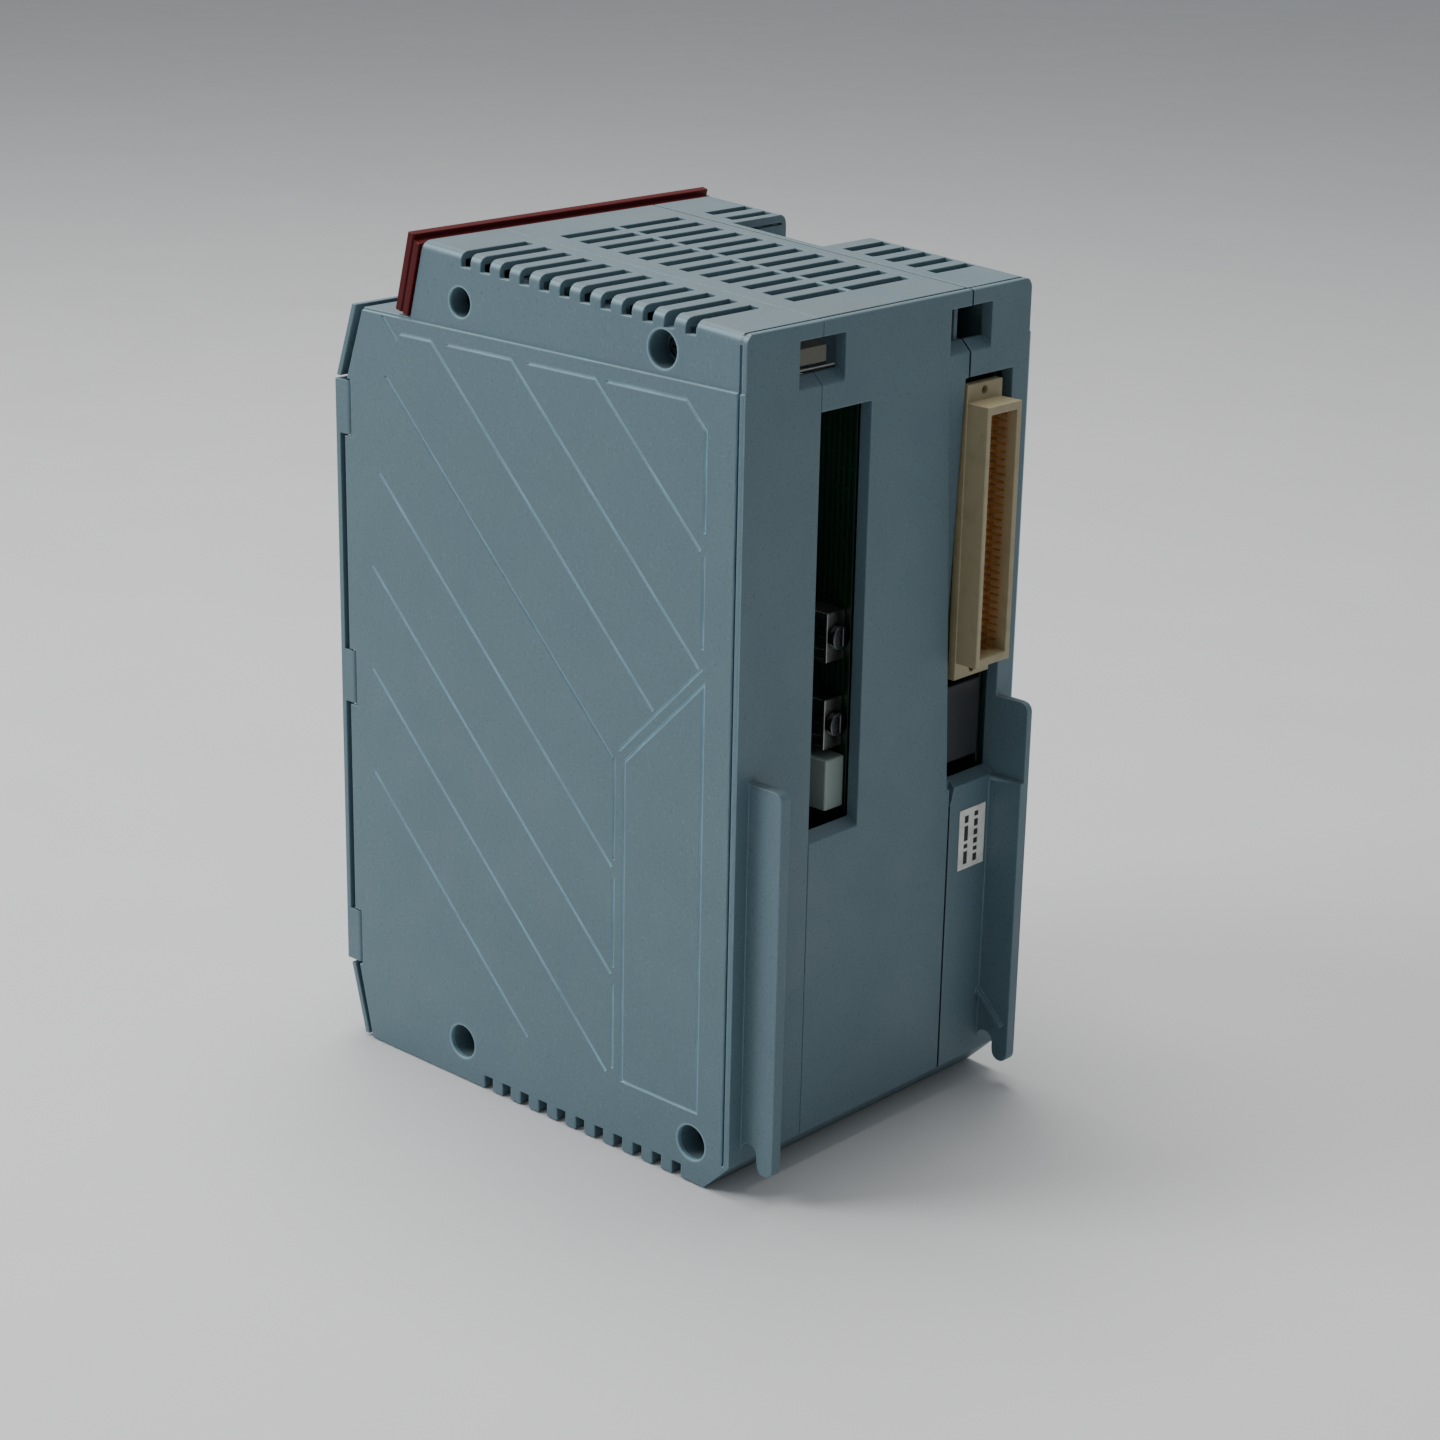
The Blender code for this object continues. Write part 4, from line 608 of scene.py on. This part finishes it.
def make_looks():
    """The look of each material slot of the part."""
    colour = COLOURS
    return {
        "housing": moulded("housing_plastic", colour["housing"], 0.5),
        "bezel": two_tone_bezel(),
        "smoked_window": smoked_pane(),
        "light_bar": moulded("light_bar", colour["light_bar"], 0.3, depth=0.004, speck=0.1, radius=0.3),
        "key": moulded("key_plastic", colour["key"], 0.45, depth=0.01, radius=0.4),
        "board": board_lacquer(),
        "terminal": moulded("black_plastic", colour["terminal"], 0.45, depth=0.012, radius=0.3),
        "connector": moulded("cream_plastic", colour["connector"], 0.42, 0.008, edge=0.3, speck=0.15),
        "contact": metal("plated_contact", colour["contact"], 0.25),
        "steel": metal("zinc_steel", colour["steel"], 0.28),
        "reset": moulded("red_plastic", colour["reset"], 0.4, depth=0.006, speck=0.1, radius=0.3),
        "lever": moulded("white_plastic", colour["lever"], 0.45, depth=0.008, edge=0.3, radius=0.3),
        "label": paper_film(),
        "component": moulded("dark_plastic", colour["component"], 0.45, depth=0.015, radius=0.4),
        "relay": moulded("pale_plastic", colour["relay"], 0.35, depth=0.006, edge=0.4, speck=0.1),
        "aluminium": metal("extruded_aluminium", colour["aluminium"], 0.42, (1.0, 12.0, 1.0), 0.012),
        "capacitor": shrink_sleeve(),
        "choke": wound_wire(),
    }


LOOKS = make_looks()
# shell edges painted paler than the other plastics, partly as a painted highlight
SHELL_LOOK = moulded("shell_plastic", COLOURS["housing"], 0.5, edge=0.8, grooved=True)
SHROUD_LOOK = connector_shroud()
BLACK_SCREW = metal("black_screw", COLOURS["black_steel"], 0.35)
CLAMP_STEEL = metal("clamp_steel", COLOURS["clamp"], 0.3)
CLAMP_SCREW = metal("clamp_screw_steel", COLOURS["clamp_screw"], 0.2)
LATCH_LOOK = moulded("latch_plastic", COLOURS["latch"], 0.45, speck=0.2)
DARK_INK = print_ink("dark_ink", COLOURS["ink"])
WHITE_INK = print_ink("white_ink", COLOURS["white_print"])
SEGMENT_LOOK = print_ink("unlit_segment", COLOURS["segment"])
SOLDER_LOOK = metal("solder", COLOURS["solder"], 0.3)


# Making pieces


def box_mm(node):
    """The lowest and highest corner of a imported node, in millimetres."""
    low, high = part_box(node)
    return [value / MM for value in low], [value / MM for value in high]


def piece(name, shape, slot, body, replaced=(), look=None):
    """An object from a bmesh in millimetres, carried by a body of the frame."""
    bmesh.ops.recalc_face_normals(shape, faces=shape.faces)
    for face in shape.faces:
        face.smooth = True
    for edge in shape.edges:
        edge.smooth = edge.calc_face_angle(0.0) < math.radians(CREASE_ANGLE)
    bmesh.ops.scale(shape, vec=(MM, MM, MM), verts=shape.verts)
    mesh = bpy.data.meshes.new(name)
    shape.to_mesh(mesh)
    shape.free()
    mesh.materials.append(look or LOOKS[slot])
    obj = bpy.data.objects.new(name, mesh)
    bpy.context.scene.collection.objects.link(obj)
    modifier = obj.modifiers.new("flat_faces", "WEIGHTED_NORMAL")
    modifier.weight = 100
    modifier.keep_sharp = True
    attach(obj, body)
    if replaced:
        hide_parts(*replaced)
    return obj


def cleaned(node):
    """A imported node's mesh in millimetres, welded, with its flat triangles joined into faces."""
    shape = bmesh.new()
    shape.from_mesh(frame["nodes"][node].data)
    bmesh.ops.scale(shape, vec=(1 / MM, 1 / MM, 1 / MM), verts=shape.verts)
    bmesh.ops.remove_doubles(shape, verts=shape.verts, dist=WELD)
    limit = math.radians(FLAT_ANGLE)
    bmesh.ops.dissolve_limit(shape, angle_limit=limit, verts=shape.verts, edges=shape.edges)
    return shape


def closest_two(corners):
    """The two corners of a triangle that lie nearest each other, where the fold is."""
    first, second, third = corners
    pairs = ((first, second), (second, third), (third, first))
    return min(pairs, key=lambda pair: (pair[0] - pair[1]).length)


def folded_corners(shape, careful=False):
    """Corners of faces that cross themselves once they are split into triangles."""
    drawn = {}
    for loops in shape.calc_loop_triangles():
        first, second, third = (loop.vert.co.copy() for loop in loops)
        normal = (second - first).cross(third - first) / 2
        area, folded = drawn.setdefault(loops[0].face, (0.0, []))
        if normal.dot(loops[0].face.normal) < -FOLD_AREA:
            folded.extend(closest_two((first, second, third)) if careful else (first, second, third))
        drawn[loops[0].face] = (area + normal.length, folded)
    corners = []
    for face, (area, folded) in drawn.items():
        if folded:
            corners.extend(folded)
        elif len(face.verts) == 4 and area > TWIST_SHARE * face.calc_area() + TWIST_AREA:
            corners.extend(vert.co.copy() for vert in face.verts)
    return corners


def bevel(shape, edges, radius):
    """Rounds edges of a shape in place."""
    bmesh.ops.bevel(shape, geom=edges, offset=radius, segments=BEVEL_SEGMENTS, profile=0.5, affect="EDGES")


def is_sharp(edge, angle=SHARP_ANGLE):
    return edge.calc_face_angle(0.0) > math.radians(angle)


def round_edges(shape, radius):
    """A copy with its sharp edges rounded, except where there is no room for it."""
    shape.verts.index_update()
    places = KDTree(len(shape.verts))
    for vert in shape.verts:
        places.insert(vert.co, vert.index)
    places.balance()
    short = [edge for edge in shape.edges if edge.calc_length() < SHORTEST_ROUNDED * radius]
    tight = {vert.index for edge in short for vert in edge.verts}
    for attempt in range(ROUND_ATTEMPTS):
        made = shape.copy()
        sharp = [edge for edge in made.edges if is_sharp(edge)]
        roomy = [edge for edge in sharp if tight.isdisjoint(vert.index for vert in edge.verts)]
        bevel(made, roomy, radius)
        careful = attempt < ROUND_ATTEMPTS / 2
        corners = folded_corners(made, careful)
        if not corners:
            break
        reach = radius * (NEAR_REACH if careful else WIDE_REACH)
        for corner in corners:
            tight.update(index for place, index, distance in places.find_range(corner, reach))
            tight.add(places.find(corner)[1])
    return round_leftovers(made, radius)


def middle_part(edge, margin):
    """The edge without a margin at each of its ends, which are cut off it."""
    for end in tuple(edge.verts):
        bmesh.utils.edge_split(edge, end, margin / edge.calc_length())
    return edge


def round_one(shape, ends, radius, margin):
    """A copy with one more edge rounded, but for a margin at its ends, or None if that folds."""
    made = shape.copy()
    edge = next((edge for edge in made.edges if all(vert.co in ends for vert in edge.verts)), None)
    if edge:
        bevel(made, [middle_part(edge, margin) if margin else edge], radius)
    if not edge or folded_corners(made):
        made.free()
        return None
    return made


def round_leftovers(shape, radius):
    """Tries the long edges that are still sharp one at a time, and keeps what doesn't fold."""
    left = [
        [vert.co.copy() for vert in edge.verts]
        for edge in shape.edges
        if edge.calc_length() > LEFTOVER_LENGTH and is_sharp(edge, LEFTOVER_ANGLE)
    ]
    for ends in left:
        made = round_one(shape, ends, radius, 0.0) or round_one(shape, ends, radius, END_MARGIN)
        if made:
            shape.free()
            shape = made
    return shape


def back_edges(shape):
    """The edges where the top turns into the back face."""
    return [
        edge
        for edge in shape.edges
        if all(vert.co.y > BACK_PLANE for vert in edge.verts)
        and max(face.normal.z for face in edge.link_faces) > FACING
        and max(face.normal.y for face in edge.link_faces) > FACING
        and min(vert.co.z for vert in edge.verts) > BACK_LOWEST
        and edge.calc_length() > BACK_SHORTEST
    ]


def round_back(shape):
    """A copy with its top rounded into its back, or the shape itself if that makes faces fold."""
    made = shape.copy()
    bevel(made, back_edges(made), BACK_ROUND)
    if folded_corners(made):
        made.free()
        return shape
    shape.free()
    return made


def refined(node, look=None):
    """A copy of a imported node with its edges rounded, which stands for it."""
    plain = cleaned(node)
    if node in HOUSINGS:
        plain = round_back(plain)
    shape = round_edges(plain, RADIUS_OF.get(node, EDGE_RADIUS))
    plain.free()
    return piece(f"fine_{node}", shape, SLOT_OF[node], BODY_OF[node], (node,), look)


def skin(shape, low, high):
    """Faces between two rings of the same count."""
    for i in range(len(low)):
        after = (i + 1) % len(low)
        shape.faces.new((low[i], low[after], high[after], high[i]))


def add_prism(shape, outline, depth):
    """A solid from an outline of points and a vector through its thickness."""
    low = [shape.verts.new(point) for point in outline]
    high = [shape.verts.new(point + depth) for point in outline]
    shape.faces.new(low)
    shape.faces.new(high)
    skin(shape, low, high)


def rectangle(across, up):
    """The corners of a rectangle between two ranges."""
    return (across[0], up[0]), (across[1], up[0]), (across[1], up[1]), (across[0], up[1])


def add_block(shape, x, y, z):
    """A box between three ranges."""
    outline = [Vector((a, b, z[0])) for a, b in rectangle(x, y)]
    add_prism(shape, outline, Vector((0.0, 0.0, z[1] - z[0])))


def add_rings(shape, rings):
    """A closed solid through rings of points that all have the same count."""
    made = [[shape.verts.new(point) for point in ring] for ring in rings]
    for low, high in zip(made, made[1:]):
        skin(shape, low, high)
    shape.faces.new(made[0])
    shape.faces.new(made[-1])


def circle(centre, direction, radius, sides):
    """Points on a circle round an axis."""
    turn = Vector((0, 0, 1)).rotation_difference(Vector(direction)).to_matrix()
    steps = [2 * math.pi * i / sides for i in range(sides)]
    spokes = [Vector((radius * math.cos(angle), radius * math.sin(angle), 0.0)) for angle in steps]
    return [Vector(centre) + turn @ spoke for spoke in spokes]


def add_turned(shape, origin, direction, profile, sides=28):
    """A turned solid from (distance along, radius) points."""
    way = Vector(direction).normalized()
    rings = [circle(Vector(origin) + way * along, way, radius, sides) for along, radius in profile]
    add_rings(shape, rings)


def add_tube(shape, x, z, span, outside, bore, sides=12):
    """A tube along Y."""
    loops = []
    for y, radius in ((span[0], outside), (span[1], outside), (span[1], bore), (span[0], bore)):
        loops.append([shape.verts.new(point) for point in circle((x, y, z), (0, 1, 0), radius, sides)])
    for low, high in zip(loops, loops[1:] + loops[:1]):
        skin(shape, low, high)


def add_pin(shape, x, z, root, tip, half):
    """A square pin along Y with a tapered end."""
    away = math.copysign(1.0, tip - root)
    corners = ((-1, -1), (1, -1), (1, 1), (-1, 1))
    stations = (
        (root, half),
        (tip - 3.2 * half * away, half),
        (tip - 0.4 * half * away, half * 0.45),
        (tip, half * 0.3),
    )
    rings = [[Vector((x + a * size, y, z + b * size)) for a, b in corners] for y, size in stations]
    add_rings(shape, rings)


class Face:
    """A flat face to print on: points across and up it, and a little way out of it."""

    def __init__(self, origin, across, upward, outward):
        self.origin = Vector(origin)
        self.across = Vector(across)
        self.upward = Vector(upward)
        self.outward = Vector(outward)

    def point(self, a, b):
        return self.origin + self.across * a + self.upward * b

    def printed(self, shape, outline, thickness=PRINT_THICKNESS):
        add_prism(shape, [self.point(a, b) for a, b in outline], self.outward * thickness)

    def bar(self, shape, a, b, thickness=PRINT_THICKNESS):
        self.printed(shape, rectangle(a, b), thickness)


def spread(low, high, count):
    """Evenly spaced places from low to high."""
    return [low + (high - low) * i / (count - 1) for i in range(count)]


# Bezel parts


def lean_axes():
    """Outward and upward directions of the leaned bezel."""
    lean = math.radians(BEZEL_LEAN)
    return Vector((0.0, -math.cos(lean), math.sin(lean))), Vector((0.0, math.sin(lean), math.cos(lean)))


def leaned_box(node):
    """Ranges of a node across, out of and up the leaned bezel."""
    outward, upward = lean_axes()
    points = [vert.co / MM for vert in frame["nodes"][node].data.vertices]
    ranges = []
    for way in (Vector((1.0, 0.0, 0.0)), outward, upward):
        values = [point.dot(way) for point in points]
        ranges.append((min(values), max(values)))
    return ranges


def leaned_face(node):
    """The front face of a node on the bezel, with its origin in the middle."""
    outward, upward = lean_axes()
    across, out, up = leaned_box(node)
    origin = Vector((sum(across) / 2, 0.0, 0.0)) + outward * out[1] + upward * (sum(up) / 2)
    return Face(origin, (1.0, 0.0, 0.0), upward, outward)


def segment(start, end):
    """A pointed bar between two places, for one segment of a digit."""
    ax, ay = start
    bx, by = end
    length = math.hypot(bx - ax, by - ay)
    dx, dy = (bx - ax) / length, (by - ay) / length
    half, gap = SEGMENT_HALF, SEGMENT_GAP
    outline = (
        (gap, 0.0), (gap + half, half), (length - gap - half, half),
        (length - gap, 0.0), (length - gap - half, -half), (gap + half, -half),
    )
    return [(ax + along * dx - side * dy, ay + along * dy + side * dx) for along, side in outline]


def display_digits():
    """Unlit seven-segment digits on the module behind the smoked pane."""
    shape = bmesh.new()
    face = leaned_face("display_module")
    wide, tall = DIGIT_WIDTH / 2, DIGIT_HEIGHT / 2
    level = [((-wide, b), (wide, b)) for b in (tall, 0.0, -tall)]
    upright = [((a, b), (a, b + tall)) for b in (0.0, -tall) for a in (-wide, wide)]
    for i in range(DIGITS):
        middle = (i - (DIGITS - 1) / 2) * DIGIT_PITCH
        for start, end in level + upright:
            outline = [(middle + a + b * DIGIT_SLANT, b) for a, b in segment(start, end)]
            face.printed(shape, outline, DIGIT_THICKNESS)
        point = (middle + wide + 0.5, middle + wide + 1.6)
        face.bar(shape, point, (-tall - 0.5, -tall + 0.6), DIGIT_THICKNESS)
    piece("display_digits", shape, "light_bar", BODY_OF["display_module"], look=SEGMENT_LOOK)


def key_symbols():
    """A raised sign on each key, no higher than the middle of the bezel."""
    bezel_middle = sum(leaned_box("front_bezel")[2]) / 2
    for key, outlines in KEY_SIGNS.items():
        shape = bmesh.new()
        face = leaned_face(key)
        lowered = min(0.0, bezel_middle - sum(leaned_box(key)[2]) / 2)
        for outline in outlines:
            face.printed(shape, [(a, b + lowered) for a, b in outline], SIGN_THICKNESS)
        piece(f"{key}_sign", shape, "label", BODY_OF[key], look=WHITE_INK)


def status_lenses():
    """Small domes along the light bar."""
    shape = bmesh.new()
    outward, upward = lean_axes()
    across, out, up = leaned_box("status_lights")
    dome = ((0.0, 1.0), (0.15, 1.0), (0.3, 0.8), (0.38, 0.35))
    profile = [(along, LENS_RADIUS * share) for along, share in dome]
    for x in spread(across[0] + LENS_MARGIN, across[1] - LENS_MARGIN, STATUS_LENSES):
        centre = Vector((x, 0.0, 0.0)) + outward * (out[1] - 0.1) + upward * (sum(up) / 2)
        add_turned(shape, centre, outward, profile, 20)
    piece("status_lenses", shape, "light_bar", BODY_OF["status_lights"], look=WHITE_INK)


# Contacts and terminals


def pin_field(name, node, counts, margins, half, backward):
    """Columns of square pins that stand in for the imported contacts, in their box."""
    shape = bmesh.new()
    low, high = box_mm(node)
    root, tip = (low[1], high[1]) if backward else (high[1], low[1])
    for x in spread(low[0] + margins[0], high[0] - margins[0], counts[0]):
        for z in spread(low[2] + margins[1], high[2] - margins[1], counts[1]):
            add_pin(shape, x, z, root, tip, half)
    piece(name, shape, "contact", BODY_OF[node], (node,))


def bus_pins():
    """Fine gold pins in the shroud at the back."""
    pin_field("bus_pins", "bus_contacts", BUS_PINS, BUS_MARGINS, BUS_PIN_HALF, True)


def signal_pins():
    """Pins in the long header of the front compartment."""
    pin_field("signal_pins", "signal_contacts", HEADER_PINS, HEADER_MARGINS, HEADER_PIN_HALF, False)


def encoder_sleeves():
    """Gold sleeves in the sockets of the encoder connector."""
    shape = bmesh.new()
    front = box_mm("encoder_insert")[0][1]
    span = [front + depth for depth in SLEEVE_SPAN]
    for x, first, count in SOCKET_COLUMNS:
        for i in range(count):
            add_tube(shape, x, first + SOCKET_PITCH * i, span, SOCKET_OUTSIDE, SOCKET_BORE)
    piece("encoder_sleeves", shape, "contact", BODY_OF["encoder_insert"])


def add_cross_head(shape, centre, outward, radius, height, slot):
    """A screw head with a cross cut in it: a disc under four quarters."""
    way = Vector(outward).normalized()
    add_turned(shape, centre, way, ((0.0, radius), (height * DISC_SHARE, radius)))
    turn = Vector((0, 0, 1)).rotation_difference(way).to_matrix()
    base = Vector(centre) + way * height * DISC_SHARE
    for quarter in range(4):
        start = math.asin(slot / radius)
        steps = [start + (math.pi / 2 - 2 * start) * i / 6 for i in range(7)]
        arc = [(radius * 0.97 * math.cos(a), radius * 0.97 * math.sin(a)) for a in steps]
        spin = Matrix.Rotation(quarter * math.pi / 2, 3, "Z")
        outline = [base + turn @ (spin @ Vector((a, b, 0.0))) for a, b in [(slot, slot), *arc]]
        add_prism(shape, outline, way * height * (1.0 - DISC_SHARE))


def terminal_screws():
    """A cross-head screw at the bottom of each driver hole."""
    shape = bmesh.new()
    for i in range(POLES):
        centre = (FIRST_POLE + POLE_PITCH * i, DRIVER_FLOOR + SURFACE_GAP, DRIVER_HEIGHT)
        add_cross_head(shape, centre, (0, -1, 0), SCREW_RADIUS, SCREW_HEIGHT, CROSS_HALF)
    piece("terminal_screws", shape, "steel", BODY_OF["power_terminals"])


def terminal_cages():
    """A steel cage with a ribbed clamp plate in each wire entry."""
    shape = bmesh.new()
    low, high = ENTRY_LEVELS[0] + CAGE_GAP, ENTRY_LEVELS[1] - CAGE_GAP
    y = [ENTRY_FLOOR - depth for depth in CAGE_DEPTHS]
    for i in range(POLES):
        x = FIRST_POLE + POLE_PITCH * i
        left, right = x - ENTRY_HALF + CAGE_GAP, x + ENTRY_HALF - CAGE_GAP
        inside = (left + CAGE_WALL, right - CAGE_WALL)
        add_block(shape, (left, inside[0]), y, (low, high))
        add_block(shape, (inside[1], right), y, (low, high))
        add_block(shape, inside, y, (high - CAGE_WALL, high))
        add_block(shape, inside, y, (low, low + CAGE_WALL))
        for rib in spread(y[0] + 0.8, y[1] - 1.2, CLAMP_RIBS):
            levels = (low + CAGE_WALL, low + CAGE_WALL + RIB_HEIGHT)
            add_block(shape, (left + 1.2, right - 1.2), (rib, rib + 0.5), levels)
    piece("terminal_cages", shape, "steel", BODY_OF["power_terminals"])


# Print


def text_like_bars(shape, face, across, up, rows, seed):
    """Rows of short bars of uneven length in place of wording, each row at a place with a height."""
    step = seed
    for row, height in rows:
        place = across[0]
        while place < across[1]:
            step = (step * 37 + 11) % BAR_CYCLE
            length = height * (0.7 + 2.4 * step / BAR_CYCLE)
            end = min(place + length, across[1])
            if end - place > height * 0.5:
                face.bar(shape, (place, end), (up + row, up + row + height))
            place = end + height * 0.6


def rear_print():
    """Two lines of bars that run up the label at the back."""
    shape = bmesh.new()
    low, high = box_mm("rear_label")
    face = Face((0.0, high[1], 0.0), (0, 0, 1), (-1, 0, 0), (0, 1, 0))
    lines = ((2.6, 1.9), (7.6, 1.9))
    text_like_bars(shape, face, (low[2] + 1.8, high[2] - 1.8), -high[0], lines, 7)
    piece("rear_print", shape, "label", BODY_OF["rear_label"], look=DARK_INK)


def door_print():
    """Rows of bars and three outlined boxes on the film across the door."""
    shape = bmesh.new()
    low, high = box_mm("door_label")
    face = Face((0.0, low[1], 0.0), (1, 0, 0), (0, 0, 1), (0, -1, 0))
    text_like_bars(shape, face, (low[0] + 4.0, 8.0), low[2], ((4.5, 1.4), (8.5, 1.4)), 23)
    text_like_bars(shape, face, (low[0] + 4.0, -4.0), low[2], ((14.0, 4.5),), 5)
    bottom, top = (low[2] + level for level in SYMBOL_LEVELS)
    upright = (bottom + SYMBOL_LINE + 0.1, top - SYMBOL_LINE - 0.1)
    for left in SYMBOL_PLACES:
        right = left + SYMBOL_WIDTH
        face.bar(shape, (left, right), (bottom, bottom + SYMBOL_LINE))
        face.bar(shape, (left, right), (top - SYMBOL_LINE, top))
        face.bar(shape, (left, left + SYMBOL_LINE), upright)
        face.bar(shape, (right - SYMBOL_LINE, right), upright)
    piece("door_print", shape, "label", BODY_OF["door_label"], look=DARK_INK)


def panel_print():
    """Ticks round the address dials and bars beside the other controls."""
    shape = bmesh.new()
    face = Face((0.0, PANEL_FACE, 0.0), (1, 0, 0), (0, 0, 1), (0, -1, 0))
    ticks = rectangle(TICK_SPAN, (-TICK_HALF, TICK_HALF))
    for dial in ("address_dial_1", "address_dial_2"):
        low, high = box_mm(dial)
        x, z = (low[0] + high[0]) / 2, (low[2] + high[2]) / 2
        for i in range(DIAL_TICKS):
            angle = 2 * math.pi * i / DIAL_TICKS
            sine, cosine = math.sin(angle), math.cos(angle)
            outline = [(x + r * sine + s * cosine, z + r * cosine - s * sine) for r, s in ticks]
            face.printed(shape, outline)
    text_like_bars(shape, face, (-24.0, 44.0), 230.0, ((0.0, 1.1),), 31)
    text_like_bars(shape, face, (-54.0, 30.0), 55.0, ((0.0, 1.2),), 3)
    text_like_bars(shape, face, (36.0, 55.0), 164.0, ((0.0, 1.2),), 17)
    piece("panel_print", shape, "label", BODY_OF["front_frame"], look=WHITE_INK)


# Board parts


def add_chip(shape, pins, base, place, size, height, legs):
    """A moulded chip on a face that looks along X, with legs along its two upright sides."""
    y, z = place
    wide, tall = size
    low, high = z - tall / 2, z + tall / 2
    add_block(shape, (base + 0.25, base + height), (y - wide / 2, y + wide / 2), (low, high))
    for level in spread(low + 0.8, high - 0.8, legs):
        for side in (-1, 1):
            leg = sorted(y + side * (wide / 2 + off) for off in (0.02, 1.1))
            add_block(pins, (base + 0.05, base + 0.5), leg, (level - 0.22, level + 0.22))


def add_can(shape, base, place, radius, height):
    """A small round can that stands on a board, with a rounded top."""
    shoulder = ((height - 0.8, radius), (height - 0.3, radius * 0.93), (height, radius * 0.85))
    add_turned(shape, (base, *place), (1, 0, 0), ((0.0, radius), *shoulder))


def board_parts():
    """Chips, small cans and resistors on the sides of the boards that the openings show."""
    chips, pins, cans = bmesh.new(), bmesh.new(), bmesh.new()
    power, control = (box_mm(board)[1][0] + SURFACE_GAP for board in ("power_board", "control_board"))
    for chip in POWER_CHIPS:
        add_chip(chips, pins, power, *chip)
    for chip in CONTROL_CHIPS:
        add_chip(chips, pins, control, *chip)
    for can in POWER_CANS:
        add_can(cans, power, *can)
    for y, z in RESISTORS:
        add_block(pins, (power, power + 0.8), (y - 0.8, y + 0.8), (z - 1.4, z + 1.4))
    piece("board_chips", chips, "component", BODY_OF["power_board"])
    piece("board_solder", pins, "steel", BODY_OF["power_board"], look=SOLDER_LOOK)
    piece("board_cans", cans, "capacitor", BODY_OF["power_board"])


# Stage, light and camera


def camera_turn():
    """Rotation of the camera that looks at the module, with the photo's slight roll."""
    azimuth, elevation, roll = (math.radians(a) for a in (CAMERA_AZIMUTH, CAMERA_ELEVATION, CAMERA_ROLL))
    back = Vector((
        math.sin(azimuth) * math.cos(elevation),
        -math.cos(azimuth) * math.cos(elevation),
        math.sin(elevation),
    ))
    level = (-back).cross(Vector((0, 0, 1))).normalized()
    upright = level.cross(-back)
    right = level * math.cos(roll) + upright * math.sin(roll)
    up = upright * math.cos(roll) - level * math.sin(roll)
    return Matrix((right, up, back)).transposed().to_4x4()


def add_camera():
    """The camera at the place solved from the photo."""
    data = bpy.data.cameras.new("camera")
    data.sensor_width = SENSOR
    data.lens = LENS
    data.clip_start = 0.01
    camera = bpy.data.objects.new("camera", data)
    camera.matrix_world = Matrix.Translation(CAMERA_PLACE) @ camera_turn()
    bpy.context.scene.collection.objects.link(camera)
    bpy.context.scene.camera = camera


def add_area_light(name, place, size, power, colour):
    """A soft round light aimed at the middle of the module, placed in metres."""
    data = bpy.data.lights.new(name, "AREA")
    data.shape = "DISK"
    data.size = size
    data.energy = power
    data.color = COLOURS[colour]
    light = bpy.data.objects.new(name, data)
    light.location = place
    aim = Vector(AIM) - Vector(place)
    light.rotation_euler = aim.to_track_quat("-Z", "Y").to_euler()
    bpy.context.scene.collection.objects.link(light)


def add_floor():
    """A wide sheet of paper just under the module."""
    shape = bmesh.new()
    bmesh.ops.create_grid(shape, x_segments=8, y_segments=8, size=FLOOR_SIZE)
    mesh = bpy.data.meshes.new("floor")
    shape.to_mesh(mesh)
    shape.free()
    mesh.materials.append(floor_paper())
    floor = bpy.data.objects.new("floor", mesh)
    floor.location = (0.0, 0.0, -FLOOR_DROP)
    bpy.context.scene.collection.objects.link(floor)


def add_world():
    """Even pale light from all round."""
    world = bpy.data.worlds.new("soft_room")
    world.use_nodes = True
    background = world.node_tree.nodes["Background"]
    background.inputs["Color"].default_value = tinted(COLOURS["room"])
    background.inputs["Strength"].default_value = ROOM_STRENGTH
    bpy.context.scene.world = world


# The model


OWN_LOOKS = {
    "bus_connector": SHROUD_LOOK,
    "rack_latch": LATCH_LOOK,
    "clamp_upper": CLAMP_STEEL,
    "clamp_lower": CLAMP_STEEL,
    "clamp_screw_upper": CLAMP_SCREW,
    "clamp_screw_lower": CLAMP_SCREW,
}
OWN_LOOKS.update({node: SHELL_LOOK for node in HOUSINGS})
for node in frame["nodes"]:
    if node.startswith(("right_screw", "left_screw")):
        OWN_LOOKS[node] = BLACK_SCREW
REDRAWN = ("bus_contacts", "signal_contacts")

for node in frame["nodes"]:
    if node not in REDRAWN:
        refined(node, OWN_LOOKS.get(node))

display_digits()
key_symbols()
status_lenses()
bus_pins()
signal_pins()
encoder_sleeves()
terminal_screws()
terminal_cages()
rear_print()
door_print()
panel_print()
board_parts()

add_camera()
add_world()
add_floor()
add_area_light("key_light", (1.3, -1.2, 1.5), 1.0, 30.0, "white_light")
add_area_light("top_light", (-0.1, -0.35, 1.9), 1.2, 38.0, "warm_light")
